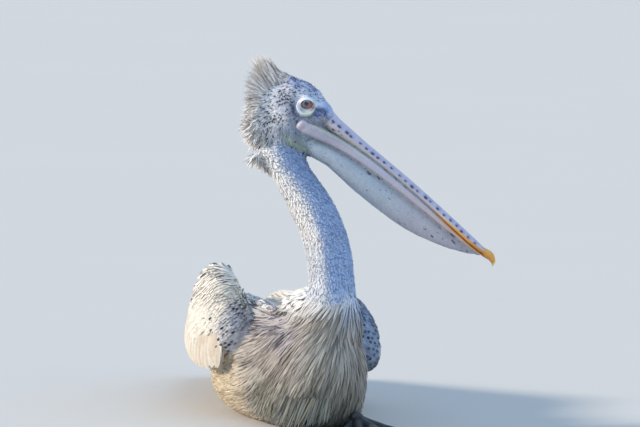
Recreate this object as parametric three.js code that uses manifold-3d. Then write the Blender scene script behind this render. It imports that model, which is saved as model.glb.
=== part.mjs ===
// A spot-billed pelican at rest on its belly, neck raised, head turned to its own left.
// Millimetres, +Z up. The bird faces -Y and its own left side is +X.
import * as THREE from 'three';
import { mergeVertices } from 'three/addons/utils/BufferGeometryUtils.js';
import Module from 'manifold-3d';

const wasm = await Module();
wasm.setup();

// ---- driving dimensions -------------------------------------------------------------

const GAP = 0.3;                 // clear space between pieces that touch
const BILL_PITCH = 42.7;         // degrees below level along the top of the bill
const HEAD_TURN = -16;           // degrees about Z, from +X; the bill points to the bird's left
const HEAD_AT = [-25.7, 49, 480];    // the eyes' axis, where it crosses the middle of the head
const BILL_ROOT = [39.6, -5.8];    // top of the bill where the forehead ends, in the head's own X and Z
const EYE_RADIUS = 11.5;
const EYE_ASIDE = 15.5;          // from the middle of the head to an eye's centre
const NECK_CUTS = [0.36, 0.68];  // where the neck is parted, as shares of its length
const WING_PARTING = 352;        // Y where the folded arm ends and the long quills go on alone
const RUMP_PARTING = 404;        // Y where the trunk ends and the tail begins
const LEG_RADIUS = 8;
const WEB_THICKNESS = 3;
const WEB_SPAN = [0.05, 0.88];   // where the web starts and ends, as shares of the toes
const WEB_BOW = 3;               // how far the toes lift it at its middle
const WEB_DROP = 2;              // how far it lies under the toes' own line
const CLAW_LENGTH = 15;
const CLAW_SHARE = 0.38;         // of the toe's radius

// ---- helpers ------------------------------------------------------------------------

const vector = (x, y, z) => new THREE.Vector3(x, y, z);

// A smooth line through rows of [stop, value, value, ...]; column picks the value.
function smoothColumn(rows, column) {
  const slope = (i) => {
    const a = rows[Math.max(i - 1, 0)];
    const b = rows[Math.min(i + 1, rows.length - 1)];
    return (b[column] - a[column]) / (b[0] - a[0]);
  };
  return (stop) => {
    let i = 0;
    while (i < rows.length - 2 && stop > rows[i + 1][0]) {
      i += 1;
    }
    const span = rows[i + 1][0] - rows[i][0];
    const t = THREE.MathUtils.clamp((stop - rows[i][0]) / span, 0, 1);
    const start = rows[i][column];
    const end = rows[i + 1][column];
    const bend = t * t * (3 - 2 * t);
    const leave = t * (1 - t) * (1 - t) * span * slope(i);
    const arrive = t * t * (1 - t) * span * slope(i + 1);
    return start + (end - start) * bend + leave - arrive;
  };
}

// All columns of a table of rows as smooth functions of its first column.
function smoothTable(rows) {
  const columns = rows[0].slice(1).map((_, i) => smoothColumn(rows, i + 1));
  return (stop) => columns.map((column) => column(stop));
}

// A closed body drawn out of a sphere: each ring of the sphere becomes one section.
// section(t) gives its centre, its half-width vector, its upper and lower half-height
// vectors, and how full each half is (2 is an ellipse, more is squarer).
function drawnBody(rings, sides, section) {
  const geometry = new THREE.SphereGeometry(1, sides, rings);
  const position = geometry.attributes.position;
  const point = vector(0, 0, 0);
  for (let i = 0; i < position.count; i += 1) {
    point.fromBufferAttribute(position, i);
    const t = Math.acos(THREE.MathUtils.clamp(point.y, -1, 1)) / Math.PI;
    const reach = Math.hypot(point.x, point.z);
    const { centre, side, above, below, full = 2, fullBelow = full } = section(t);
    const across = reach > 1e-6 ? point.x / reach : 0;
    const upward = reach > 1e-6 ? point.z / reach : 0;
    const power = 2 / (upward > 0 ? full : fullBelow);
    const wide = Math.sign(across) * Math.abs(across) ** power;
    const high = Math.sign(upward) * Math.abs(upward) ** power;
    const place = centre.clone();
    if (reach > 1e-6) {
      place.addScaledVector(side, wide);
      place.addScaledVector(high > 0 ? above : below, Math.abs(high));
    }
    position.setXYZ(i, place.x, place.y, place.z);
  }
  return geometry;
}

// How wide a rounded end still is, at a distance in from it: 0 at the end, 1 past length.
function roundedEnd(distance, length) {
  const short = THREE.MathUtils.clamp(1 - distance / length, 0, 1);
  return Math.max(Math.sqrt(1 - short * short), 0.02);
}

// A solid from a closed geometry, its faces turned outward.
function solidOf(geometry) {
  const bare = geometry.clone();
  bare.deleteAttribute('normal');
  bare.deleteAttribute('uv');
  const merged = mergeVertices(bare, 1e-4);
  const corners = new Float32Array(merged.attributes.position.array);
  const faces = new Uint32Array(merged.index.array);
  const [a, b, c] = [vector(0, 0, 0), vector(0, 0, 0), vector(0, 0, 0)];
  let volume = 0;
  for (let i = 0; i < faces.length; i += 3) {
    a.fromArray(corners, faces[i] * 3);
    b.fromArray(corners, faces[i + 1] * 3);
    c.fromArray(corners, faces[i + 2] * 3);
    volume += a.dot(b.cross(c));
  }
  if (volume < 0) {
    for (let i = 0; i < faces.length; i += 3) {
      [faces[i], faces[i + 1]] = [faces[i + 1], faces[i]];
    }
  }
  return new wasm.Manifold(new wasm.Mesh({ numProp: 3, vertProperties: corners, triVerts: faces }));
}

function geometryOf(solid) {
  const mesh = solid.getMesh();
  const geometry = new THREE.BufferGeometry();
  geometry.setAttribute('position', new THREE.BufferAttribute(new Float32Array(mesh.vertProperties), 3));
  geometry.setIndex(new THREE.BufferAttribute(new Uint32Array(mesh.triVerts), 1));
  return geometry;
}

// Everything between two corners, as a solid to cut with.
function block(low, high) {
  const size = high.map((value, i) => value - low[i]);
  const box = new THREE.BoxGeometry(...size);
  box.translate(...high.map((value, i) => (value + low[i]) / 2));
  return solidOf(box);
}

const FAR = 2000;
const NECK_REACH = 200;          // past any part of the neck, sideways from its line
const over = (z) => block([-FAR, -FAR, z], [FAR, FAR, FAR]);
const behind = (y) => block([-FAR, y, -FAR], [FAR, FAR, FAR]);
const before = (y) => block([-FAR, -FAR, -FAR], [FAR, y, FAR]);

function named(name, solid, material) {
  const mesh = new THREE.Mesh(geometryOf(solid), material);
  mesh.name = name;
  return mesh;
}

const finish = (color, roughness) => new THREE.MeshStandardMaterial({ color, roughness, metalness: 0 });

const PLUMAGE = {
  pale: finish('#d9d6cf', 0.9),
  breast: finish('#cfc6b2', 0.9),
  wing: finish('#d8d0c0', 0.85),
  quill: finish('#8d8880', 0.8),
  crest: finish('#a39c95', 0.95),
};
const HORN = {
  bill: finish('#aaafd2', 0.45),
  ramus: finish('#b9b4cd', 0.5),
  nail: finish('#ebaa3c', 0.4),
  claw: finish('#57544f', 0.5),
};
const SKIN = {
  pouch: finish('#96a5b9', 0.55),
  foot: finish('#3f4650', 0.6),
};
const EYE = finish('#c9c4a8', 0.1);

// ---- sections that follow an outline seen from the side ------------------------------

// Body whose middle plane is the X-Z plane of the head: rows of
// [stop, upper X, upper Z, lower X, lower Z, half-width].
function profileBody(rows, rings, sides, { grow = 0, full = 2 } = {}) {
  const table = smoothTable(rows);
  const [first, last] = [rows[0][0], rows[rows.length - 1][0]];
  return solidOf(drawnBody(rings, sides, (t) => {
    const [upperX, upperZ, lowerX, lowerZ, halfWidth] = table(first + (last - first) * t);
    const upper = vector(upperX, 0, upperZ);
    const lower = vector(lowerX, 0, lowerZ);
    const centre = upper.clone().lerp(lower, 0.5);
    const half = upper.clone().sub(centre);
    half.setLength(half.length() + grow);
    const side = vector(0, Math.max(halfWidth, 0) + grow, 0);
    return { centre, side, above: half, below: half.clone().negate(), full };
  }));
}

// ---- head ---------------------------------------------------------------------------
// The head's own frame: X the way it faces, Y its left, Z up, zero between the eyes.

const HEAD_ROWS = [
  [0, -74, -12, -74, -14, 1],
  [0.1, -71, 16, -73, -38, 16],
  [0.28, -55, 40, -58, -70, 26],
  [0.5, -29, 44, -24, -85, 29],
  [0.68, -5, 34, 0, -80, 27],
  [0.84, 18, 19.5, 16, -56, 22.5],
  [0.95, 36, -2, 29, -34, 15],
  [1, 42, -16, 38, -22, 4],
];
const CREST_ROWS = [
  [0, -64, 70, -58, 67, 2],
  [0.1, -71, 61, -42, 53, 8],
  [0.3, -83, 42, -46, 24, 16],
  [0.5, -92, 12, -54, 0, 21],
  [0.7, -97, -24, -60, -28, 25],
  [0.88, -93, -62, -60, -56, 25],
  [1, -82, -86, -74, -82, 3],
];
const headSolid = (grow) => profileBody(HEAD_ROWS, 14, 18, { grow });
const crestSolid = (grow) => profileBody(CREST_ROWS, 9, 12, { grow });

function eyeSolid(sign, radius) {
  const ball = new THREE.SphereGeometry(radius, 10, 8);
  ball.rotateX(Math.PI / 2);
  ball.translate(0, sign * EYE_ASIDE, 0);
  return solidOf(ball);
}

// ---- bill ---------------------------------------------------------------------------
// The bill's own frame: X along its top from the forehead to the tip, Z across it.

const UPPER_BILL_ROWS = [
  [-30, -30, 2, -30, -46, 25],
  [0, 0, 0, 0, -35, 25],
  [30, 30, 0, 30, -25, 23.5],
  [60, 60, 0, 60, -21, 21.5],
  [105, 105, 0.4, 105, -14.5, 19],
  [150, 150, 0.3, 150, -10.6, 17.5],
  [210, 210, 0, 210, -10, 18],
  [255, 255, 0, 255, -9, 20],
  [288, 288, 0, 288, -8.5, 18],
  [306, 306, -1, 306, -8, 12],
  [316, 316, -3, 316, -6, 2],
];
const LOWER_BILL_ROWS = [
  [-26, -26, -46, -26, -56, 14],
  [-16, -16, -44, -16, -58, 22],
  [8, 8, -34, 8, -49, 24],
  [35, 35, -25.5, 35, -41, 24.5],
  [60, 60, -21.5, 60, -34, 24],
  [92, 92, -16.6, 92, -29.8, 22.5],
  [132, 132, -12, 132, -25.5, 20.5],
  [185, 185, -10.6, 185, -20.5, 18.5],
  [250, 250, -9.3, 250, -15.8, 16],
  [300, 300, -8.4, 300, -12.8, 9],
  [318, 318, -8.5, 318, -10.5, 2],
];
const POUCH_ROWS = [
  [-22, -22, -58, -20, -66, 12],
  [12, 8, -48, 12, -78, 21],
  [50, 46, -37, 52, -70.5, 22.5],
  [95, 92, -29, 98, -71, 21],
  [140, 138, -24.5, 142, -68.5, 18.5],
  [185, 183, -20, 187, -64, 16],
  [220, 219, -17.5, 221, -56, 13],
  [252, 251, -15.5, 253, -44.5, 10],
  [283, 283, -13.5, 283, -31, 6.5],
  [306, 306, -12, 306, -15.5, 3],
  [313, 313, -11.5, 313, -12.5, 1],
];
const NAIL_ROWS = [
  [0, 284, 0.2, 284, -2, 3],
  [0.12, 290, 1.2, 289, -5, 7.5],
  [0.35, 305, 1.8, 303, -8.2, 10],
  [0.6, 318, 1.4, 311, -9, 8.5],
  [0.8, 325.5, -2.4, 316, -10.5, 5.5],
  [0.93, 329, -9, 320.5, -12, 3.2],
  [1, 329, -13, 327, -14, 0.8],
];
const upperBill = (grow) => profileBody(UPPER_BILL_ROWS, 14, 12, { grow, full: 2.3 });
const lowerBill = (grow) => profileBody(LOWER_BILL_ROWS, 13, 10, { grow, full: 2.6 });
const pouchSolid = (grow) => profileBody(POUCH_ROWS, 14, 12, { grow });
const nailSolid = (grow) => profileBody(NAIL_ROWS, 8, 8, { grow });

const billFrame = new THREE.Matrix4()
  .makeRotationY(THREE.MathUtils.degToRad(BILL_PITCH))
  .setPosition(BILL_ROOT[0], 0, BILL_ROOT[1]);
const headFrame = new THREE.Matrix4()
  .makeRotationZ(THREE.MathUtils.degToRad(HEAD_TURN))
  .setPosition(...HEAD_AT);

const moved = (solid, frame) => solidOf(geometryOf(solid).applyMatrix4(frame));

function makeHead() {
  const group = new THREE.Group();
  const billParts = new THREE.Group();
  group.add(billParts);
  billParts.applyMatrix4(billFrame);
  group.applyMatrix4(headFrame);

  const intoBill = billFrame.clone().invert();
  const headInBill = moved(headSolid(GAP), intoBill);
  const nail = nailSolid(0);
  const upper = upperBill(0).subtract(headInBill).subtract(nailSolid(GAP));
  const lower = lowerBill(0).subtract(headInBill).subtract(upperBill(GAP)).subtract(nailSolid(GAP));
  const pouch = pouchSolid(0).subtract(headInBill).subtract(lowerBill(GAP)).subtract(nailSolid(GAP));
  billParts.add(named('bill_upper', upper, HORN.bill));
  billParts.add(named('bill_nail', nail, HORN.nail));
  billParts.add(named('bill_lower', lower, HORN.ramus));
  billParts.add(named('pouch', pouch, SKIN.pouch));

  let head = headSolid(0);
  for (const sign of [-1, 1]) {
    head = head.subtract(eyeSolid(sign, EYE_RADIUS + GAP));
    const side = sign > 0 ? 'left' : 'right';
    group.add(named(`eye_${side}`, eyeSolid(sign, EYE_RADIUS), EYE));
  }
  group.add(named('head', head, PLUMAGE.pale));
  group.add(named('crest', crestSolid(0).subtract(headSolid(GAP)), PLUMAGE.crest));
  return group;
}

// ---- neck ---------------------------------------------------------------------------

// Rows of [share of the length, X, Y, Z, half-width].
const NECK_ROWS = [
  [0, 4, 34, 128, 58],
  [0.12, 1, 12, 170, 47],
  [0.22, 0.5, 0, 205, 38.5],
  [0.34, -0.5, 1.5, 238, 36],
  [0.48, -7, 7, 281, 34.5],
  [0.6, -18, 17, 316, 33.5],
  [0.72, -36, 33, 350, 33.5],
  [0.84, -57, 49, 383, 33.5],
  [0.94, -73, 59, 416, 32],
  [1, -78, 62, 446, 24],
];

const neckTable = smoothTable(NECK_ROWS);

function neckPlace(share) {
  const [x, y, z, half] = neckTable(share);
  return { centre: vector(x, y, z), half };
}

function neckSolid(grow) {
  return solidOf(drawnBody(18, 14, (t) => {
    const { centre, half } = neckPlace(t);
    const ahead = neckPlace(Math.min(t + 0.02, 1)).centre.sub(neckPlace(Math.max(t - 0.02, 0)).centre);
    const side = vector(1, 0, 0).projectOnPlane(ahead.normalize()).setLength(half + grow);
    const front = vector(0, -1, 0).projectOnPlane(ahead).projectOnPlane(side.clone().normalize());
    front.setLength(half * 0.97 + grow);
    return { centre, side, above: front, below: front.clone().negate() };
  }));
}

// A frame on the neck's line: its Z points along the neck toward the head.
function neckFrame(share) {
  const centre = neckPlace(share).centre;
  const ahead = neckPlace(share + 0.03).centre.sub(neckPlace(share - 0.03).centre).normalize();
  const turn = new THREE.Quaternion().setFromUnitVectors(vector(0, 0, 1), ahead);
  return new THREE.Matrix4().compose(centre, turn, vector(1, 1, 1));
}

// All that lies past a cut square to the neck's line, from height above the cut.
const neckPast = (share, height) => moved(
  block([-NECK_REACH, -NECK_REACH, height], [NECK_REACH, NECK_REACH, 2 * NECK_REACH]),
  neckFrame(share),
);

// ---- trunk --------------------------------------------------------------------------

// Rows of [Y, top Z, bottom Z, half-width, middle X].
const TRUNK_ROWS = [
  [-42, 150, 66, 40, -3],
  [-10, 186, 28, 58, -4],
  [30, 205, 0, 71, -5],
  [70, 207, -9, 81, -7],
  [120, 199, -12, 91, -8],
  [180, 188, -13, 102, -7],
  [240, 177, -12, 108, -6],
  [290, 168, -4, 104, -5],
  [350, 158, 20, 90, -4],
  [404, 148, 50, 68, -2],
  [450, 134, 72, 42, 0],
  [480, 122, 84, 26, 0],
];
const BREAST_ROUNDING = 52;      // how far back from its foremost point the breast rounds off
const RUMP_ROUNDING = 60;
const RIDGE_ROUNDING = 60;
// The shoulder feathers lie in a ridge along each side of the back.
// Rows of [Y, X, Z, half-width, half-height].
const RIDGE_ROWS = [
  [40, 42, 170, 20, 26],
  [120, 47, 160, 27, 34],
  [220, 50, 152, 30, 40],
  [310, 50, 150, 31, 43],
  [380, 44, 138, 26, 32],
  [430, 38, 128, 18, 16],
];

function trunkSolid(grow) {
  const table = smoothTable(TRUNK_ROWS);
  const [first, last] = [TRUNK_ROWS[0][0] - grow, TRUNK_ROWS[TRUNK_ROWS.length - 1][0] + grow];
  const body = solidOf(drawnBody(18, 20, (t) => {
    const y = first + (last - first) * (0.5 - 0.5 * Math.cos(Math.PI * t));
    const [top, bottom, halfWidth, x] = table(y);
    const round = roundedEnd(y - first, BREAST_ROUNDING) * roundedEnd(last - y, RUMP_ROUNDING);
    const middle = top * 0.4 + bottom * 0.6;
    return {
      centre: vector(x, y, middle),
      side: vector((halfWidth + grow) * round, 0, 0),
      above: vector(0, 0, (top - middle + grow) * round),
      below: vector(0, 0, (bottom - middle - grow) * round),
      full: 1.85,
      fullBelow: 2.7,
    };
  }));
  return [-1, 1].reduce((solid, sign) => solid.add(ridgeSolid(sign, grow)), body);
}

function ridgeSolid(sign, grow) {
  const table = smoothTable(RIDGE_ROWS);
  const [first, last] = [RIDGE_ROWS[0][0] - grow, RIDGE_ROWS[RIDGE_ROWS.length - 1][0] + grow];
  return solidOf(drawnBody(9, 8, (t) => {
    const y = first + (last - first) * t;
    const [x, z, halfWidth, halfHigh] = table(y);
    const round = roundedEnd(y - first, RIDGE_ROUNDING) * roundedEnd(last - y, RIDGE_ROUNDING);
    return {
      centre: vector(x * sign, y, z),
      side: vector((halfWidth + grow) * round, 0, 0),
      above: vector(0, 0, (halfHigh + grow) * round),
      below: vector(0, 0, (-halfHigh - grow) * round),
    };
  }));
}

// ---- wings --------------------------------------------------------------------------

// Rows of [Y, X, Z, half-thickness, half-height, lean toward the back in degrees].
const WING_ROWS = [
  [150, 101, 132, 20, 26, 2],
  [166, 102, 139, 25, 38, 3],
  [192, 105, 147, 33, 58, 5],
  [228, 107, 147, 38, 71, 7],
  [272, 103, 147, 40, 76, 9],
  [320, 94, 146, 38, 75, 11],
  [372, 80, 139, 32, 69, 17],
  [430, 62, 127, 26, 60, 29],
  [490, 46, 111, 17, 47, 42],
  [545, 33, 97, 10, 32, 54],
  [592, 24, 87, 6, 15, 60],
];
const WRIST_ROUNDING = 24;
const WING_TIP_ROUNDING = 30;
const DROOP_SPAN = [150, 340];   // Y over which a hanging wrist comes up to the wing's own line
const TUCK_SPAN = [380, 560];    // Y over which a tucked-in wing comes back to it

// sign -1 is the right wing. The left one hangs lower at its front by droop, lower all
// along by sink, is tucked in toward the back, folded flatter, and leans over more.
const WINGS = [
  { side: 'right', sign: -1, droop: 0, sink: 0, tuck: 0, tall: 1, tilt: 0, full: 2.6 },
  { side: 'left', sign: 1, droop: 20, sink: 20, tuck: 6, tall: 0.9, tilt: 12, full: 2.1 },
];

function wingSolid(wing, grow) {
  const { sign, tall } = wing;
  const table = smoothTable(WING_ROWS);
  const [first, last] = [WING_ROWS[0][0] - grow, WING_ROWS[WING_ROWS.length - 1][0] + grow];
  return solidOf(drawnBody(16, 16, (t) => {
    const y = first + (last - first) * (1 - Math.cos(Math.PI * t)) / 2;
    const [x, z, halfThick, halfHigh, lean] = table(y);
    const atFront = 1 - THREE.MathUtils.smoothstep(y, ...DROOP_SPAN);
    const fade = 1 - THREE.MathUtils.smoothstep(y, ...TUCK_SPAN);
    const round = roundedEnd(y - first, WRIST_ROUNDING) * roundedEnd(last - y, WING_TIP_ROUNDING);
    const angle = THREE.MathUtils.degToRad(lean + wing.tilt * fade);
    const outward = vector(Math.cos(angle) * sign, 0, Math.sin(angle));
    const upward = vector(-Math.sin(angle) * sign, 0, Math.cos(angle));
    return {
      centre: vector((x - wing.tuck * fade) * sign, y, z - wing.droop * atFront - wing.sink * fade),
      side: outward.multiplyScalar((halfThick + grow) * round),
      above: upward.clone().multiplyScalar((halfHigh * tall + grow) * round),
      below: upward.multiplyScalar((-halfHigh * tall - grow) * round),
      full: wing.full,
    };
  }));
}

// ---- tail ---------------------------------------------------------------------------

// Rows of [Y, Z, half-width, half-thickness].
const TAIL_ROWS = [
  [400, 99, 40, 28],
  [440, 94, 48, 24],
  [490, 83, 55, 15],
  [550, 68, 62, 8],
  [600, 56, 60, 4.5],
  [624, 51, 48, 2.5],
  [636, 49, 14, 1],
];

function tailSolid() {
  const table = smoothTable(TAIL_ROWS);
  const [first, last] = [TAIL_ROWS[0][0], TAIL_ROWS[TAIL_ROWS.length - 1][0]];
  return solidOf(drawnBody(9, 12, (t) => {
    const y = first + (last - first) * t;
    const [z, halfWidth, halfThick] = table(y);
    return {
      centre: vector(0, y, z),
      side: vector(halfWidth, 0, 0),
      above: vector(0, 0, halfThick),
      below: vector(0, 0, -halfThick),
      full: 2.6,
    };
  }));
}

// ---- legs and feet ------------------------------------------------------------------

const LEGS = [
  { side: 'right', sign: -1, splay: 4 },
  { side: 'left', sign: 1, splay: 16 },
];
const HEEL = [58, 150, 11];
const KNUCKLE = [40, 8, 21];
// Toes in a foot's own frame: [name, length, degrees outward from straight ahead, radius]
const TOES = [
  ['outer', 88, 34, 5],
  ['middle', 98, 4, 5.5],
  ['inner', 80, -27, 5],
  ['hind', 40, -78, 4],
];

// A tapered tube along a line that bows upward by arch.
function taperedTube(from, to, startRadius, endRadius, arch, rings, sides, grow = 0) {
  const line = to.clone().sub(from);
  const along = line.clone().normalize();
  const side = vector(0, 0, 1).cross(along).normalize();
  const upward = along.clone().cross(side);
  return solidOf(drawnBody(rings, sides, (t) => {
    const rounding = Math.min(1, Math.sqrt(Math.min(t, 1 - t) * 10)) || 0.02;
    const radius = THREE.MathUtils.lerp(startRadius, endRadius, t) * Math.max(rounding, 0.05) + grow;
    const centre = from.clone().addScaledVector(line, t);
    centre.z += arch * 4 * t * (1 - t);
    return {
      centre,
      side: side.clone().multiplyScalar(radius),
      above: upward.clone().multiplyScalar(radius),
      below: upward.clone().multiplyScalar(-radius),
    };
  }));
}

function footPoints({ sign, splay }) {
  const knuckle = vector(KNUCKLE[0] * sign, KNUCKLE[1], KNUCKLE[2]);
  const toes = TOES.map(([name, length, outward, radius]) => {
    const angle = THREE.MathUtils.degToRad(outward + splay);
    const tip = vector(
      knuckle.x + sign * length * Math.sin(angle),
      knuckle.y - length * Math.cos(angle),
      radius * 0.55 - 0.4,
    );
    return { name, tip, radius, angle };
  });
  return { knuckle, toes };
}

// The web between two toes: a thin lens from the knuckle out to its hollow free edge.
function webSolid(knuckle, first, second) {
  return solidOf(drawnBody(5, 6, (t) => {
    const reach = THREE.MathUtils.lerp(...WEB_SPAN, t);
    const a = knuckle.clone().lerp(first.tip, reach);
    const b = knuckle.clone().lerp(second.tip, reach);
    const centre = a.clone().lerp(b, 0.5);
    centre.z += WEB_BOW * 4 * reach * (1 - reach) - WEB_DROP;
    const width = Math.max(1 - t ** 8, 0.1) * Math.min(1, 0.2 + t * 8);
    return {
      centre,
      side: b.clone().sub(a).multiplyScalar(0.5 * width),
      above: vector(0, 0, WEB_THICKNESS / 2),
      below: vector(0, 0, -WEB_THICKNESS / 2),
      full: 3,
    };
  }));
}

const legSolid = ({ sign }, grow) => taperedTube(
  vector(HEEL[0] * sign, HEEL[1], HEEL[2]),
  vector(KNUCKLE[0] * sign, KNUCKLE[1] + 4, KNUCKLE[2]),
  LEG_RADIUS + 3,
  LEG_RADIUS,
  0,
  5,
  8,
  grow,
);

function footSolid(leg) {
  const { knuckle, toes } = footPoints(leg);
  let foot = taperedTube(
    vector(knuckle.x, knuckle.y + 6, knuckle.z),
    vector(knuckle.x + leg.sign * 2, knuckle.y - 14, knuckle.z - 2),
    10,
    9,
    0,
    4,
    6,
  );
  for (const toe of toes) {
    foot = foot.add(taperedTube(knuckle, toe.tip, toe.radius * 1.5, toe.radius * 0.75, 4, 5, 6));
  }
  for (let i = 0; i < toes.length - 1; i += 1) {
    foot = foot.add(webSolid(knuckle, toes[i], toes[i + 1]));
  }
  return foot;
}

function clawSolid({ knuckle }, toe, grow) {
  const away = toe.tip.clone().sub(knuckle).setZ(0).normalize();
  const root = toe.tip.clone().addScaledVector(away, -CLAW_LENGTH * 0.4);
  const point = toe.tip.clone().addScaledVector(away, CLAW_LENGTH * 0.6);
  root.z += 0.6;
  point.z = 1;
  const radius = toe.radius * CLAW_SHARE;
  return taperedTube(root, point, radius, radius * 0.4, 0.5, 4, 6, grow);
}

// ---- the bird -----------------------------------------------------------------------

function makeBody() {
  const group = new THREE.Group();
  const floor = over(0);
  const headGrown = moved(headSolid(GAP).add(crestSolid(GAP)), headFrame);
  const pouchGrown = moved(pouchSolid(GAP), headFrame.clone().multiply(billFrame));

  let trunk = trunkSolid(0).intersect(floor);
  for (const leg of LEGS) {
    trunk = trunk.subtract(legSolid(leg, GAP));
    trunk = trunk.subtract(footSolid(leg));
  }
  group.add(named('trunk', trunk.intersect(before(RUMP_PARTING)), PLUMAGE.breast));

  const trunkGrown = trunkSolid(GAP);
  const neck = neckSolid(0).subtract(trunkGrown).subtract(headGrown).subtract(pouchGrown);
  const [lowCut, highCut] = NECK_CUTS;
  const upper = neck.intersect(neckPast(highCut, GAP));
  const middle = neck.intersect(neckPast(lowCut, GAP)).subtract(neckPast(highCut, 0));
  group.add(named('neck_lower', neck.subtract(neckPast(lowCut, 0)), PLUMAGE.pale));
  group.add(named('neck_middle', middle, PLUMAGE.pale));
  group.add(named('neck_upper', upper, PLUMAGE.pale));

  let tail = tailSolid().add(trunkSolid(0)).intersect(behind(RUMP_PARTING + GAP));
  for (const wing of WINGS) {
    tail = tail.subtract(wingSolid(wing, GAP));
  }
  group.add(named('tail', tail, PLUMAGE.pale));

  for (const wing of WINGS) {
    const solid = wingSolid(wing, 0).subtract(trunkGrown);
    group.add(named(`wing_${wing.side}`, solid.intersect(before(WING_PARTING)), PLUMAGE.wing));
    group.add(named(`quills_${wing.side}`, solid.intersect(behind(WING_PARTING + GAP)), PLUMAGE.quill));
  }

  for (const leg of LEGS) {
    const foot = footSolid(leg);
    const points = footPoints(leg);
    let clearFoot = foot.intersect(floor);
    for (const toe of points.toes) {
      const claw = clawSolid(points, toe, 0).intersect(floor);
      clearFoot = clearFoot.subtract(clawSolid(points, toe, GAP));
      group.add(named(`claw_${toe.name}_${leg.side}`, claw, HORN.claw));
    }
    group.add(named(`foot_${leg.side}`, clearFoot, SKIN.foot));
    const tarsus = legSolid(leg, 0).subtract(foot).intersect(floor);
    group.add(named(`leg_${leg.side}`, tarsus, SKIN.foot));
  }
  return group;
}

const pelican = new THREE.Group();
pelican.add(makeHead());
pelican.add(makeBody());

// The origin is under the middle of the whole bird, on the floor.
pelican.updateMatrixWorld(true);
const extent = new THREE.Box3().setFromObject(pelican, true);
const middle = extent.getCenter(vector(0, 0, 0));
pelican.position.set(-middle.x, -middle.y, -extent.min.z);

export default pelican;
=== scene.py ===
# %% [markdown]
# # A spot-billed pelican sitting with its neck raised
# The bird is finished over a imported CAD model, whose nodes say where each piece is. One skin is drawn over
# the nodes of flesh, the horn of the bill and claws is modelled again in fine meshes, and the feathers are
# laid on the skin one by one, as thin vanes of real mesh.

import math

import bmesh
import bpy
import numpy as np
from mathutils import Matrix, Vector
from mathutils.bvhtree import BVHTree


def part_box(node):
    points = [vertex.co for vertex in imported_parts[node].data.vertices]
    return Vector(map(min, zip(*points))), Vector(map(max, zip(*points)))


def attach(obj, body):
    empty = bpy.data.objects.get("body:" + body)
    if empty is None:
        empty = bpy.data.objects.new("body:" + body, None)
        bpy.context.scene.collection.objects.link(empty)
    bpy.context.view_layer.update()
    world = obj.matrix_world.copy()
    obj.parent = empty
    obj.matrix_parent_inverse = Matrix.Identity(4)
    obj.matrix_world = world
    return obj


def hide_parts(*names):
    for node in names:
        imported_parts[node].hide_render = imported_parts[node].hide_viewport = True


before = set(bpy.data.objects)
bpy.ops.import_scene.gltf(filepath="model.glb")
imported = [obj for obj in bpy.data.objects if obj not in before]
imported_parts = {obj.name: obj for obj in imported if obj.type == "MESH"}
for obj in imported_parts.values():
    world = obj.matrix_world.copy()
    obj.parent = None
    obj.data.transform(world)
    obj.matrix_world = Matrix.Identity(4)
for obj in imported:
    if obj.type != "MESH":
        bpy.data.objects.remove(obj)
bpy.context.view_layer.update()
MM = 0.001

# %% [markdown]
# ## Frames of the body, the head and the bill
# A long shape is easiest to describe in its own frame. The body's frame stands under the base of the neck,
# the head's between the eyes, and the bill's where the forehead ends. Places in a frame are in millimetres.

# %% Frames
HEAD_TURN = math.radians(-16)
BILL_PITCH = math.radians(42.7)
BILL_ROOT = Vector((39.6, 0, -5.8)) * MM
EYES_FROM_NECK_BASE = Vector((-25.7, 49, 480)) * MM


def box_middle(node):
    low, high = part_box(node)
    return (low + high) / 2


eye_middle = {side: box_middle(f"eye_{side}") for side in ("right", "left")}
head_at = (eye_middle["right"] + eye_middle["left"]) / 2
BODY = Matrix.Translation(head_at - EYES_FROM_NECK_BASE)
HEAD = Matrix.Translation(head_at) @ Matrix.Rotation(HEAD_TURN, 4, "Z")
BILL = HEAD @ Matrix.Translation(BILL_ROOT) @ Matrix.Rotation(BILL_PITCH, 4, "Y")


def into(matrix, points):
    """Points of the row frame, as millimetres in a frame."""
    away = np.array(matrix.inverted())
    return (points @ away[:3, :3].T + away[:3, 3]) / MM


def out_of(matrix, points):
    """Millimetres in a frame, as points of the row frame."""
    back = np.array(matrix)
    return np.asarray(points, float) * MM @ back[:3, :3].T + back[:3, 3]


def turned(matrix, ways):
    """Directions of a frame, as seen in the row frame."""
    return np.asarray(ways, float) @ np.array(matrix)[:3, :3].T


print("The eyes' axis crosses the head at", [round(v, 4) for v in head_at])

# %% [markdown]
# ## The camera
# The camera stands 9 m off behind a long lens, so near and far parts keep almost the same scale. It is
# aimed a little beside the bird's middle, which frames it without any lens shift.

# %% Camera
CAMERA_AZIMUTH = math.radians(-16)
CAMERA_ELEVATION = math.radians(7)
CAMERA_DISTANCE = 9
FRAME_SIZE = (640, 427)
PIXEL_SIZE = 1.45 * MM
TARGET_HEIGHT = 198 * MM
TARGET_PIXEL = (332, 298.5)


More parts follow.
